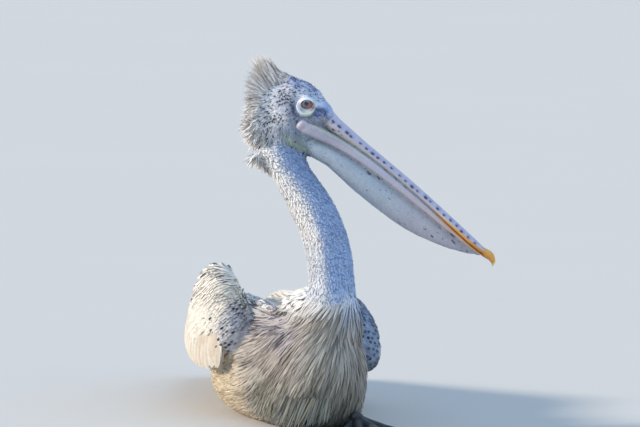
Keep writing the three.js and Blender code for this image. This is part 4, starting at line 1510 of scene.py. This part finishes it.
def marked(count, shaft=0, spot=0, root=0.25):
    """How strong the streak, the spot and the painted shade over the lower part of each feather are."""
    return np.stack([np.broadcast_to(value, (count,)) for value in (shaft, spot, root)], -1).astype(float)


print("Feather finishes:", DOWN_FINISH.name, VANE_FINISH.name)

# %% [markdown]
# ## The lie of the coat
# Feathers point away from the bill, down the neck and back along the body. On the breast they fan out
# from the base of the neck, and on a folded wing they run back and, lower down, hang.

# %% Lie of the coat
BREAST_FAN = out_of(BODY, (40, -8, 268))


def neck_flow(points):
    return -neck_ahead[stop_on_neck(points)]


def head_flow(points):
    """Back from the bill, turning down on the cheeks and throat."""
    z = into(HEAD, points)[:, 2]
    back = np.tile((-1, 0, -0.25), (len(points), 1))
    back[:, 2] += 0.75 * ramp(z, 12, 36) - 0.9 * ramp(z, 5, -45)
    share = ramp(z, -22, -52)[:, None]
    return unit(turned(HEAD, back)) * (1 - share) + neck_flow(points) * share


def trunk_flow(points):
    x, y, z = into(BODY, points).T
    fan = unit(points - BREAST_FAN) + (0, 0.35, 0)
    backward = np.tile((0, 1, -0.12), (len(points), 1))
    backward[:, 0] += 0.25 * np.sign(x) * ramp(z, 120, 60)
    share = np.maximum(ramp(y, 60, 190), ramp(z, 45, 12) * 0.6)
    share = np.maximum(share, ramp(z, 180, 200) * ramp(y, 30, 60))[:, None]
    return unit(fan) * (1 - share) + backward * share


def wing_flow(points):
    """Out over the wing's front edge, back along its top, and hanging more the lower it is."""
    x, y, z = into(BODY, points).T
    low = ramp(z, 185, 100)
    slope = np.radians(30 + 24 * low + 20 * low * ramp(y, 170, 260) * ramp(y, 420, 330))
    front = ramp(y, 285, 215) * ramp(np.abs(x), 137, 122)
    back = 1 - front
    return rows_of(np.sign(x) * front, np.cos(slope) * back, -np.sin(slope) * back - 0.6 * front)


print("Neck length in mm:", round(np.linalg.norm(np.diff(neck_line, axis=0), axis=1).sum() / MM))

# %% [markdown]
# ## Down of the head and neck
# The neck is covered in short soft feathers, a little curled and unkempt, white with dark tips here and
# there. Each is a narrow vane of three rows, which is enough at a centimetre long.

# %% Head and neck down
HEAD_SPACING, NECK_SPACING = 1.8, 2.1
NECK_BASE_HEIGHT = 196
MANTLE_LIFT = 17                 # the most that the feathers behind the neck's root stand off
# Where the nape is fluffed up, in the head's frame: the middle, its reach each way and the shift.
NAPE_MIDDLE, NAPE_REACH, NAPE_SHIFT = (-76, 0, -40), (24, 34, 42), (-9.5, 0, -1)
NECK_PARTS = {"low": (-0.1, 0.42), "middle": (0.42, 0.68), "high": (0.68, 1.1)}


def bare_face(points):
    """1 where the face is bare skin: round the eye, in front of it and along the gape."""
    x, _, z = into(HEAD, points).T
    ring = oval(x, z, *RING_MIDDLE, 16.5, 16.5, 0.08)
    gape = ramp(x, -10, -4) * ramp(z, -8, -12) * ramp(z, -64, -58)
    lore = ramp(x, 9, 15) * ramp(z - 0.1 * x, 2, -3)
    return np.maximum(np.maximum(ring, gape), lore)


def in_horn(points):
    """True where the bill's horn covers the skin."""
    x, _, z = into(BILL, points).T
    return (x > 1) & (z > -60) & (z < 8)


def head_fleck_share(x, z):
    """How many of the small dark flecks lie here: a dense patch behind the eye, fewer elsewhere."""
    crown = ramp(x + z, -8, 10) * ramp(z, 3, 12) * ramp(x, 36, 20)
    share = 0.06 + 0.8 * oval(x, z, -28, 10, 12, 10, 0.35) + 0.5 * oval(x, z, -40, -22, 10, 8)
    return share + 0.34 * crown + 0.16 * oval(x, z, -62, -14, 20, 40)


def flecks(roots, ways, length, width, height, colour):
    """Short dark marks over the down: dark feather tips on the head, and on the neck painted shadows between
    the curled tips.
    """
    count = len(roots)
    return vane_group(
        roots, ways, length * rng.uniform(0.75, 1.25, count), width * rng.uniform(0.8, 1.2, count), OVAL,
        3, 2, 2, colour, marked(count, 0, 0, 0), base=height, rise=0.3, flick=0, cup=0.3,
        bend=rng.normal(0, 0.6, count))


def head_flecks():
    roots = scattered(on_node("head", "crest"), 2.2)
    x, _, z = into(HEAD, roots).T
    keep = (rng.random(len(roots)) < head_fleck_share(x, z)) & (bare_face(roots) < 0.3) & ~in_horn(roots)
    roots, x, z = roots[keep], x[keep], z[keep]
    count = len(roots)
    blue = ramp(x + z, -10, 8) * ramp(z, 0, 10)
    colour = painted("#2b2c38", roots, ("#4a5694", blue * rng.uniform(0.4, 1, count)),
                     ("#86848e", 0.6 * rng.random(count) ** 2))
    ways = head_flow(roots) + rng.normal(0, 0.5, (count, 3))
    return flecks(roots, ways, 2.9, 2.1, 1.4 + 1.3 * ramp(x, -34, -62), colour)


def neck_shadow_dashes(chosen):
    """Painted shadows between the curled feather tips: short wavy dark lines across the neck, densest where
    the white meets the painted blue shade.
    """
    roots = scattered(chosen, 2.7)
    share, before, _ = on_neck(roots)
    low = ramp(share, 0.32, 0.16)
    chance = 0.13 + 0.12 * ramp(before, 0, 12) + 0.45 * bell(before - 14, 16)
    chance *= (1 - 0.75 * low * ramp(before, 14, 28)) * (1 - 0.2 * low)
    keep = rng.random(len(roots)) < chance
    roots, before = roots[keep], before[keep]
    # Blue where the painted shadows lie in the painted blue shade of the neck's front.
    colour = painted("#8a827e", roots, ("#587cb4", ramp(before, -4, 16)),
                     ("#a9b8d4", 0.65 * rng.random(len(roots)) ** 1.2))
    flow = neck_flow(roots)
    across = unit(np.cross(nearest(skin_tree, roots)[1], flow))
    return flecks(roots, across + 0.3 * flow + rng.normal(0, 0.16, (len(roots), 3)), 3.7, 1.8, 2.2, colour)


def tipped(colours, share, dark, strength=(0.55, 0.95)):
    """Some of the feathers, by chance, turned toward a dark colour."""
    chosen = rng.random(len(colours)) < share
    return mixed(colours, paint(dark), np.where(chosen, rng.uniform(*strength, len(colours)), 0))


def head_down():
    roots = scattered(on_node("head", "crest"), HEAD_SPACING)
    roots = roots[(bare_face(roots) < 0.5) & ~in_horn(roots)]
    x, _, z = into(HEAD, roots).T
    count = len(roots)
    front = ramp(x, -14, 14) * ramp(z, -25, 0)
    behind = ramp(x, -30, -62)
    length = 6.4 - 2.8 * np.maximum(front, oval(x, z, -16, -17, 13, 24)) + 3.6 * behind
    length *= rng.uniform(0.8, 1.2, count)
    colour = tipped(head_colour(roots) * shades(count, 0.07), 0.07 + 0.06 * behind, "#3b3a40")
    colour = tipped(colour, 0.16 * ramp(x + z, 0, 12), "#5f6cab")
    return vane_group(
        roots, head_flow(roots) + rng.normal(0, 0.22, (count, 3)), length, 2.3 - 0.5 * front, LANCE,
        3, 2, 2, colour, marked(count), base=0.1, rise=1.2 + 1.2 * behind - 0.6 * front,
        flick=rng.uniform(0, 1.2, count) * (0.25 + behind), cup=0.35, bend=rng.normal(0, 0.9, count))


def fluffed(group):
    """Moves out the loose feathers of the nape, and raises those behind the neck's root."""
    roots = group["points"][:, 0]
    x, y, z = into(BODY, roots).T
    behind_neck = bell(np.hypot((x + 33) / 18, (y - 52) / 28), 1)
    lift = MANTLE_LIFT * behind_neck * ramp(z, 165, 185) * ramp(z, 250, 225)
    away = (into(HEAD, roots) - NAPE_MIDDLE) / NAPE_REACH
    out = turned(HEAD, NAPE_SHIFT) * bell(np.linalg.norm(away, axis=1), 1)[:, None]
    group["points"] = group["points"] + (UP * lift[:, None] + out)[:, None] * MM
    return group


def neck_down(start, end):
    share = on_neck(face_middles)[0]
    chosen = np.char.find(face_labels, "neck") >= 0
    chosen |= on_node("trunk") & (face_z > NECK_BASE_HEIGHT + 4) & (face_y < 50)
    chosen &= (share >= start) & (share < end) & (face_z > NECK_BASE_HEIGHT)
    roots = scattered(chosen, NECK_SPACING)
    count = len(roots)
    share, _, behind = on_neck(roots)
    behind, high = ramp(behind, 0, 26), ramp(share, 0.62, 0.9)
    length = (5.8 + 8 * high * behind + 6 * ramp(share, 0.34, 0.16)) * rng.uniform(0.8, 1.2, count)
    colour = tipped(neck_colour(roots) * shades(count, 0.05), 0.01 + 0.1 * high * behind, "#6b6260")
    flow = neck_flow(roots) + rng.normal(0, 0.3 + 0.12 * high[:, None], (count, 3))
    return neck_shadow_dashes(chosen), vane_group(
        roots, flow, length, 2.5 + 0.8 * ramp(share, 0.36, 0.16), LANCE, 3, 2, 2, colour,
        marked(count, 0, 0, 0.08), base=0.4, rise=2 + 1.4 * behind,
        flick=rng.uniform(0, 2, count) * (0.08 + behind * (0.1 + 0.6 * high)), cup=0.3,
        bend=rng.normal(0, 1, count))


for part, shares in NECK_PARTS.items():
    groups = [fluffed(group) for group in neck_down(*shares)]
    lay_coat(f"neck_down_{part}", groups, (neck_line[0], neck_line[-1]), DOWN_FINISH, "pale_plumage")
groups = [fluffed(head_down()), fluffed(head_flecks())]
head_axis = (out_of(HEAD, (-80, 0, -10)), out_of(HEAD, (50, 0, -10)))
lay_coat("head_down", groups, head_axis, DOWN_FINISH, "pale_plumage")

# %% [markdown]
# ## The crest
# From the hind crown down the nape stand loose bristly filaments, longest at the top. They are long thin
# wisps that leave the skin steeply and fan out, in the space of the crest node.

# %% Crest
CREST_COUNT, MANE_COUNT = 2300, 2000
TUFT_FACING = np.array((-0.75, -0.5, 0.35))      # the way most tufts turn their flat side
# Rows down the nape, in the head's frame: (share, X, Z of the roots, the way the bristles point,
# their length and how far they spread).
CREST_ROWS = (
    (0, -26, 33, -0.72, 0.69, 3, 3), (0.1, -31, 35, -0.72, 0.69, 9, 4), (0.22, -37, 36, -0.66, 0.75, 19, 5),
    (0.34, -43, 36, -0.6, 0.8, 37, 5), (0.46, -49, 34, -0.46, 0.89, 54, 5),
    (0.58, -55, 28, -0.6, 0.8, 43, 6), (0.72, -60, 17, -0.78, 0.63, 35, 8),
    (0.87, -64, 3, -0.94, 0.32, 24, 12), (1, -66, -8, -0.97, 0.02, 18, 14),
)
MANE_ROWS = (
    (0, -63, 10, -0.94, 0, 15, 14), (0.18, -67, -14, -0.9, -0.42, 19, 16),
    (0.36, -69, -34, -0.74, -0.67, 22, 18), (0.6, -66, -56, -0.62, -0.78, 22, 18),
    (0.74, -66, -66, -0.4, -0.92, 17, 17), (0.88, -62, -84, 0.05, -1, 11, 16),
    (1, -52, -114, 0.2, -0.98, 8, 15),
)


def make_tufts(rows, count, shade, fade, width, outline, disorder, spotted, root_shade):
    """Free tufts rooted along a line of (share, X, Z, way, length, half-width across the head)."""
    most, power = fade
    colour = painted("#fff9f2", np.zeros(count), (shade, most * rng.random(count) ** power))
    share = rng.random(count)
    x, z, way_x, way_z, length, spread_out = smooth_table(rows)(share).T
    aside = rng.uniform(-1, 1, count) * spread_out
    start = rows_of(x + rng.normal(0, 3.2, count), aside, z + rng.normal(0, 3.2, count))
    roots = nearest(skin_tree, out_of(HEAD, start))[0]
    stray = np.clip(rng.normal(0, 1, (2, count, 3)), -1.8, 1.8) * disorder
    way = unit(turned(HEAD, rows_of(way_x, 0.03 * aside, way_z) + stray[0]))
    length = (length * rng.uniform(0.55, 1.03, count))[:, None]
    curl = -UP * length * 0.08 + stray[1] * length * 1.3
    facing = TUFT_FACING + rng.normal(0, 0.4, (count, 3))
    facing = np.cross(way, np.cross(facing, way))
    marks = marked(count, 0, 0.8 * (rng.random(count) < spotted), rng.uniform(0, root_shade, count))
    return free_group(roots, way * length, facing, width * rng.uniform(0.8, 1.2, count), outline, 6, 2,
                      colour * shades(count, 0.05), marks, curl, base=0, rise=0, flick=0, cup=0.5)


crest_group = make_tufts(CREST_ROWS, CREST_COUNT, "#ad9889", (0.85, 3), 2.1, WISP, 0.075, 0, 0.15)
mane_group = make_tufts(MANE_ROWS, MANE_COUNT, "#8f857f", (0.6, 4), 3, LANCE, 0.2, 0.3, 0.06)
nape_axis = (out_of(HEAD, (-60, 0, -80)), out_of(HEAD, (-60, 0, 40)))
lay_coat("crest_bristles", [crest_group, fluffed(mane_group)], nape_axis, DOWN_FINISH,
         "crest_plumage", "crest")

# %% [markdown]
# ## Breast plumes and body feathers
# Below the neck the coat changes to long narrow plumes in strands that part and show darker gaps. Over
# the flanks, belly and rump the feathers are broader and softer.

# %% Breast and body
PLUME_SPACING, BODY_SPACING, FLANK_SPACING = 3.1, 6.2, 3.3
BREAST_BACK = 172
near_foot = into(BODY, leg_end("right", -1)[None])[0, 0]        # how far it stands aside


def strand_shade(points):
    """From -1 to 1, the same all along a strand of the breast's fan and changing between strands."""
    x, _, z = (into(BODY, points) - into(BODY, BREAST_FAN)).T
    turn = np.arctan2(x, -z) * 100 + 1.6 * np.sin(np.hypot(x, z) / 24)
    return np.sin(turn * 0.8) * 0.45 + np.sin(turn * 1.9 + 1.7) * 0.35 + np.sin(turn * 0.27 + 0.6) * 0.2


def plume_colours(points):
    """Painted highlight on pale strands and painted shade in the gaps between them, where they show, with
    dark streaks over the shoulder and painted blue shade high on the side turned from the sun.
    """
    count = len(points)
    x, y, z = into(BODY, points).T
    high = ramp(z, 168, 192)
    # Pale strands are painted highlight and dark ones painted shade in the gaps, the same all along a strand.
    strand = strand_shade(points)
    pale = np.clip(0.25 + 0.6 * strand + rng.normal(0, 0.16, count), 0, 1)
    dark = np.clip((-strand - 0.25) * 1.3 + rng.normal(0, 0.14, count), 0, 0.85)
    shoulder = ramp(x, -46, -62) * ramp(z, 120, 138)
    colour = mixed(trunk_colour(points), paint("#f0eeec"), 0.8 * high) * shades(count, 0.06)
    # The last layer is painted blue shade, high on the side of the breast turned from the sun.
    layers = (("#d3c9bb", 0.7 * pale * (1 - high)), ("#c4bdca", 0.6 * shoulder),
              ("#4f4a3e", dark * (1 - 0.8 * high)), ("#a9c0e2", 0.6 * ramp(x, -14, 22) * ramp(z, 148, 186)))
    for code, share in layers:
        colour = mixed(colour, paint(code), share)
    return tipped(colour, 0.6 * shoulder, "#38343a", (0.6, 1))


def breast_plumes():
    chosen = on_node("trunk", "neck_lower") & (face_z < NECK_BASE_HEIGHT + 8)
    roots = scattered(chosen & (face_y < BREAST_BACK) & (face_z > 3), PLUME_SPACING)
    count = len(roots)
    z = into(BODY, roots)[:, 2]
    high = ramp(z, 165, 205)
    length = (62 - 30 * high - 18 * ramp(z, 70, 20)) * rng.uniform(0.8, 1.2, count)
    return vane_group(
        roots, trunk_flow(roots) + rng.normal(0, 0.08, (count, 3)), length,
        (3.7 - 0.4 * high) * rng.uniform(0.7, 1.3, count), LANCE, 6, 2, 4,
        plume_colours(roots + trunk_flow(roots) * 0.55 * length[:, None] * MM),
        marked(count, rng.uniform(0, 0.35, count)), turn_to=trunk_flow, keep_off="wing", base=0.4,
        rise=5.5, flick=rng.uniform(-0.5, 1.6, count), cup=0.35, lean=rng.normal(0, 0.25, count),
        bend=rng.normal(0, 1.5, count))


def foot_apron():
    """Plumes of the lower breast that hang free over the root of the near foot's toes."""
    chosen = on_node("trunk") & (face_y < 30) & (face_z > 16) & (face_z < 62)
    roots = scattered(chosen & (np.abs(face_x - near_foot) < 40), 2.2)
    count = len(roots)
    x, y, z = into(BODY, roots).T
    reach = bell(x - near_foot + 2, 26)
    tip_high = rng.uniform(3, 20, count) + (1 - reach) * 14
    drop = np.maximum(z - tip_high, 8)[:, None]
    ways = rows_of(rng.normal(-0.42, 0.12, count), -0.1 - 0.28 * reach, -1) * drop
    curl = rows_of(0, 0.08 - 0.06 * reach, 0) * drop
    facing = rows_of(rng.normal(0, 0.5, count), -1, rng.normal(0.3, 0.2, count))
    return free_group(
        roots, ways, facing, 2.7 * rng.uniform(0.7, 1.3, count), LANCE, 6, 2,
        mixed(plume_colours(roots), paint("#86836e"), 0.5), marked(count, 0.1), curl,
        base=1, rise=2, flick=0, cup=0.35, bend=rng.normal(0, 2, count))


def body_feathers(front, back):
    chosen = on_node("trunk") & (face_y >= front) & (face_y < back) & (face_z > 2)
    roots = scattered(chosen, BODY_SPACING)
    count = len(roots)
    z = into(BODY, roots)[:, 2]
    length = (34 + 8 * ramp(z, 60, 150)) * rng.uniform(0.8, 1.15, count)
    colour = trunk_colour(roots) * shades(count, 0.06)
    marks = marked(count, 0.15 + 0.55 * ramp(z, 120, 160) * rng.random(count))
    return vane_group(
        roots, trunk_flow(roots) + rng.normal(0, 0.1, (count, 3)), length,
        11.5 * rng.uniform(0.8, 1.2, count), OVAL, 5, 2, 3, colour, marks, turn_to=trunk_flow,
        keep_off="wing", base=0.4, rise=5.5, flick=rng.uniform(-0.5, 1, count), cup=0.4,
        lean=rng.normal(0, 0.15, count))


def flank_tufts():
    """The dense short tufts that show where the breast meets the flank."""
    chosen = on_node("trunk") & (np.abs(face_y - 215) < 58) & (face_x < 0) & (face_z > 8) & (face_z < 105)
    roots = scattered(chosen, FLANK_SPACING)
    count = len(roots)
    colour = painted("#e9d6b4", roots, ("#937a55", rng.random(count) ** 1.6)) * shades(count, 0.08)
    return vane_group(
        roots, trunk_flow(roots) + rng.normal(0, 0.22, (count, 3)), rng.uniform(15, 24, count), 3.6,
        LANCE, 4, 2, 2, colour, marked(count, 0.2), turn_to=trunk_flow, base=2.2, rise=4.5,
        flick=rng.uniform(0, 1.5, count), cup=0.4, bend=rng.normal(0, 1.5, count))


trunk_axis = (out_of(BODY, (0, -50, 110)), out_of(BODY, (0, 480, 90)))
COAT_PIECES = (
    ("breast_plumes", breast_plumes, DOWN_FINISH), ("foot_apron", foot_apron, DOWN_FINISH),
    ("flank_tufts", flank_tufts, DOWN_FINISH),
    ("fore_body_feathers", lambda: body_feathers(BREAST_BACK - 20, 230), VANE_FINISH),
    ("hind_body_feathers", lambda: body_feathers(230, 500), VANE_FINISH),
)
for name, make, finish in COAT_PIECES:
    lay_coat(name, [make()], trunk_axis, finish, "body_plumage")

# %% [markdown]
# ## The wings
# On a folded wing the small coverts of the front edge lie over bigger ones behind, and those over the long
# quills. So the wing is laid in bands, and the near end of a band covers the roots of the next.

# %% Wing coverts
# Bands: (name, from and to in Y, spacing, length, width), then rows, columns, steps.
WING_BANDS = (
    ("marginal", 120, 192, 5, 13, 7.2, 4, 2, 2), ("lesser", 184, 240, 6, 21, 9, 5, 4, 3),
    ("median", 232, 300, 8.4, 33, 12.5, 6, 4, 3), ("greater", 290, 372, 10.5, 48, 15, 7, 4, 4),
    ("quill", 345, 500, 15, 100, 22, 12, 4, 6),
)
# Over the floor: the tips of the hanging feathers, and the line under which they lie in the open.
HANGING_TIPS, HANGING_FROM = 74, 136
HANGING_OUTLINE = ((0, 0.5), (0.3, 0.95), (0.6, 1), (0.85, 0.7), (1, 0.05))
MARGINAL_SIZES = {"right": (5, 7.2, 13), "left": (6.2, 9.2, 12)}     # spacing, width and length


def wing_marks(points, side):
    """How strong the shaft streaks are on a wing, and how likely a dark spot is."""
    x, y, z = into(BODY, points).T
    if side == "left":
        edge = np.maximum(ramp(z, 110, 150), ramp(x, 105, 125) * ramp(z, 120, 80))
        return 0.15, 0.75 + 0.25 * edge
    streak = 0.45 + 0.6 * ramp(z, 120, 150) * ramp(y, 330, 260)
    streak = streak * (1 - 0.8 * ramp(x, -112, -128) * ramp(z, 192, 160))
    inner = ramp(x, -104, -94) * ramp(y, 200, 180)
    cluster = inner * ramp(np.abs(z - 172), 14, 8)
    wrist = ramp(y, 195, 175) * ramp(z, 165, 150)
    blotch = bell(np.hypot((x + 114) / 14, (z - 118) / 9), 1) * ramp(y, 210, 190)
    spot = 0.02 + 0.7 * cluster + 0.3 * wrist + 0.75 * blotch + 0.6 * ramp(z, 198, 206) * ramp(x, -112, -100)
    plain = inner * ramp(np.abs(z - 194), 13, 9)
    return streak * (1 - 0.8 * plain), spot * (1 - plain)


def wing_band(side, start, end, spacing, length, width, rows, columns, steps):
    on_wing = on_node(f"wing_{side}", f"quills_{side}")
    if length < 20:
        spacing, width, length = MARGINAL_SIZES[side]
    roots = scattered(on_wing & (face_y >= start) & (face_y < end), spacing)
    x, y, z = into(BODY, roots).T
    hanging = (np.abs(x) > 122) & (z < HANGING_FROM + rng.normal(0, 5, len(z))) & (y < 345)
    roots, y = roots[~hanging], y[~hanging]
    count = len(roots)
    streak, spot = wing_marks(roots, side)
    spots = (rng.random(count) < spot) * rng.uniform(0.6, 1, count)
    colour = wing_colour(roots, side) * shades(count, 0.06)
    room = np.clip((600 - y) / length, 0.35, 1)
    near = side == "right"
    return vane_group(
        roots, wing_flow(roots) + rng.normal(0, 0.07, (count, 3)),
        length * room * rng.uniform(0.85, 1.15, count), width * rng.uniform(0.85, 1.15, count),
        OVAL if columns < 5 and length < 90 else STRAP, rows, columns, steps, colour,
        marked(count, np.minimum(1, streak * rng.uniform(0.6, 1.2, count)), spots), turn_to=wing_flow,
        base=0.4, rise=(3.4 + 0.03 * length) * (1 if near else 0.7),
        flick=rng.uniform(-0.3, 0.9, count) * near, cup=0.3, lean=rng.normal(0, 0.12, count))


def hanging_feathers(side):
    """The long plain feathers that hang over the wing's lower edge, with free pointed tips."""
    chosen = on_node(f"wing_{side}") & (np.abs(face_x) > 121) & (face_y > 158)
    roots = scattered(chosen & (face_z < 172) & (face_z > 100), 6.6)
    count = len(roots)
    x, y, z = into(BODY, roots).T
    out = np.sign(x)
    pale, tan = ("#e3d8c5", "#c2a07f") if side == "right" else ("#c3c4c4", "#8f959c")
    tip_high = HANGING_TIPS + 10 * ((y - 205) / 70) ** 2 + rng.normal(0, 2.5, count)
    colour = painted(pale, roots, (tan, 0.4 * rng.random(count) ** 2)) * shades(count, 0.03)
    drop = (z - tip_high)[:, None]
    ways = rows_of(out * 0.04, 0.34 + rng.normal(0, 0.04, count), -1) * drop
    curl = out[:, None] * (-0.16, 0, 0) * drop
    facing = rows_of(out, rng.normal(-0.6, 0.1, count), 0.12)
    return free_group(
        roots, ways, facing, rng.uniform(13, 18, count), HANGING_OUTLINE, 8, 2, colour,
        marked(count, 0.12, 0, 0.05), curl, base=0.8, rise=rng.uniform(3.6, 5, count), flick=0,
        cup=0.12, lean=rng.normal(0, 0.04, count))


for side, sign in SIDES.items():
    wing_axis = (out_of(BODY, (sign * 100, 130, 150)), out_of(BODY, (sign * 40, 600, 90)))
    for name, *band in WING_BANDS:
        slot = "quill" if name == "quill" else "wing_plumage"
        lay_coat(f"{name}_feathers_{side}", [wing_band(side, *band)], wing_axis, VANE_FINISH, slot)
    lay_coat(f"hanging_feathers_{side}", [hanging_feathers(side)], wing_axis, VANE_FINISH, "wing_plumage")

# %% [markdown]
# ## The back and the tail
# Loose ruffled scapulars fill the back between the wings. Ten pairs of stiff feathers fan out as the tail.

# %% Scapulars and tail
TAIL_COUNT = 20


def scapulars():
    """Loose curly feathers over the back, in front of the wings and behind the neck."""
    roots = scattered(on_node("trunk") & (face_z > 148) & (face_y > 26) & (face_y < 330), 4.6)
    count = len(roots)
    x, y, z = into(BODY, roots).T
    hump = ramp(y, 112, 84) * ramp(z, 160, 172) * ramp(x, -74, -60)
    near = (1 - hump) * ramp(x, -6, -24)
    colour = painted("#f7f6f4", roots, ("#a9aab6", 0.75 * rng.random(count) ** 1.4 * (1 - hump)),
                     ("#b3b5c6", 0.65 * near)) * shades(count, 0.04)
    streak = rng.random(count) ** (1.6 - 1.3 * near) * (1 - 0.9 * hump)
    spot = 0.9 * (rng.random(count) < 0.04 + 0.6 * near)
    return vane_group(
        roots, trunk_flow(roots) + rng.normal(0, 0.25 + 0.1 * near[:, None], (count, 3)),
        (25 - 7 * hump) * rng.uniform(0.7, 1.2, count), 6 * rng.uniform(0.8, 1.3, count), LANCE,
        7, 2, 4, colour, marked(count, streak, spot, 0.1 + 0.5 * near), turn_to=trunk_flow,
        keep_off="wing", base=0.7, rise=3.2, flick=rng.uniform(-1, 2, count) * (1 - 0.8 * hump),
        cup=0.3, ripple=0.35 * (1 - hump), lean=rng.normal(0, 0.4, count) * (1 - 0.5 * hump),
        bend=rng.normal(0, 3, count) * (1 - 0.6 * hump))


def tail_feathers():
    """Stiff feathers laid from the edges inward, so that the middle pair lies on top."""
    order = np.linspace(-1, 1, TAIL_COUNT)
    edge = np.abs(order)
    start = out_of(BODY, rows_of(order * 26, 448, 104 - 10 * edge))
    tip = out_of(BODY, rows_of(order * 50, 626 - 40 * edge ** 1.6, 60 - 3 * edge))
    t = np.linspace(0, 1, 9)[:, None]
    lines = start[:, None] * (1 - t) + tip[:, None] * t - UP * 18 * MM * t * (1 - t)
    normals = np.tile(unit(np.array((0, 0.24, 1))), (TAIL_COUNT, 9, 1))
    colour = painted("#b9b4ae", order, ("#8d857e", rng.random(TAIL_COUNT)))
    return spread_vanes(lines, normals, 22, STRAP, 14, 6, colour, marked(TAIL_COUNT, 0.8, 0, 0.1),
                        base=2 * (1 - edge), rise=-2, flick=0, cup=0.12)


def tail_coverts():
    roots = scattered(on_node("tail") & (face_y < 545), 8)
    count = len(roots)
    room = np.clip((610 - into(BODY, roots)[:, 1]) / 60, 0.4, 1)
    colour = painted("#efe6d8", roots, ("#8d8078", 0.4 * rng.random(count)))
    return vane_group(
        roots, rng.normal(0, 0.08, (count, 3)) + (0, 1, -0.1), 46 * room, 12, OVAL, 6, 4, 3, colour,
        marked(count, 0.4), base=0.6, rise=3.5, flick=0, cup=0.3)


BACK_PIECES = (("scapular_feathers", scapulars, "body_plumage"), ("tail_feathers", tail_feathers, "quill"),
               ("tail_coverts", tail_coverts, "body_plumage"))
for name, make, slot in BACK_PIECES:
    lay_coat(name, [fluffed(make())], trunk_axis, VANE_FINISH, slot)

# %% [markdown]
# ## Floor and light
# The floor is a wide pale sheet that reaches past the view at every angle. The light imitates late sun: a
# broad warm lamp high behind the bird's right shoulder, and a cool even sky that fills the shadows.

# %% Floor and light
FLOOR_RADIUS = 45


def floor_material():
    finish = Finish("pale_floor")
    clouds = finish.mottled(finish.place, 1.5, 0.3, 0.7)
    return finish.done(finish.blend(clouds, (0.64, 0.61, 0.57), (0.648, 0.618, 0.578)), 0.9)


def make_floor():
    turn = np.arange(64) * 2 * math.pi / 64
    rim = rows_of(np.cos(turn), np.sin(turn), 0) * FLOOR_RADIUS
    mesh = mesh_from("floor", rim, np.arange(64)[None, :])
    mesh.materials.append(floor_material())
    placed("floor", mesh)


def add_sun(name, toward, colour, strength, softness):
    """A lamp infinitely far off, in the direction given from the bird."""
    data = bpy.data.lights.new(name, "SUN")
    data.color = colour
    data.energy = strength
    data.angle = math.radians(softness)
    placed(name, data).rotation_euler = Vector(toward).to_track_quat("Z", "Y").to_euler()


def make_sky():
    world = bpy.data.worlds.new("studio_sky")
    world.use_nodes = True
    background = world.node_tree.nodes["Background"]
    background.inputs["Color"].default_value = (0.5, 0.7, 1, 1)
    background.inputs["Strength"].default_value = 0.6
    bpy.context.scene.world = world


make_floor()
add_sun("warm_lamp", (-0.89, 0.14, 0.43), (1, 0.9, 0.76), 3.6, 10)
add_sun("cool_fill", (0.42, -0.52, 0.74), (0.64, 0.81, 1), 1.25, 70)
make_sky()
bpy.context.scene.view_settings.view_transform = "Standard"
print("Floor radius in metres:", FLOOR_RADIUS)
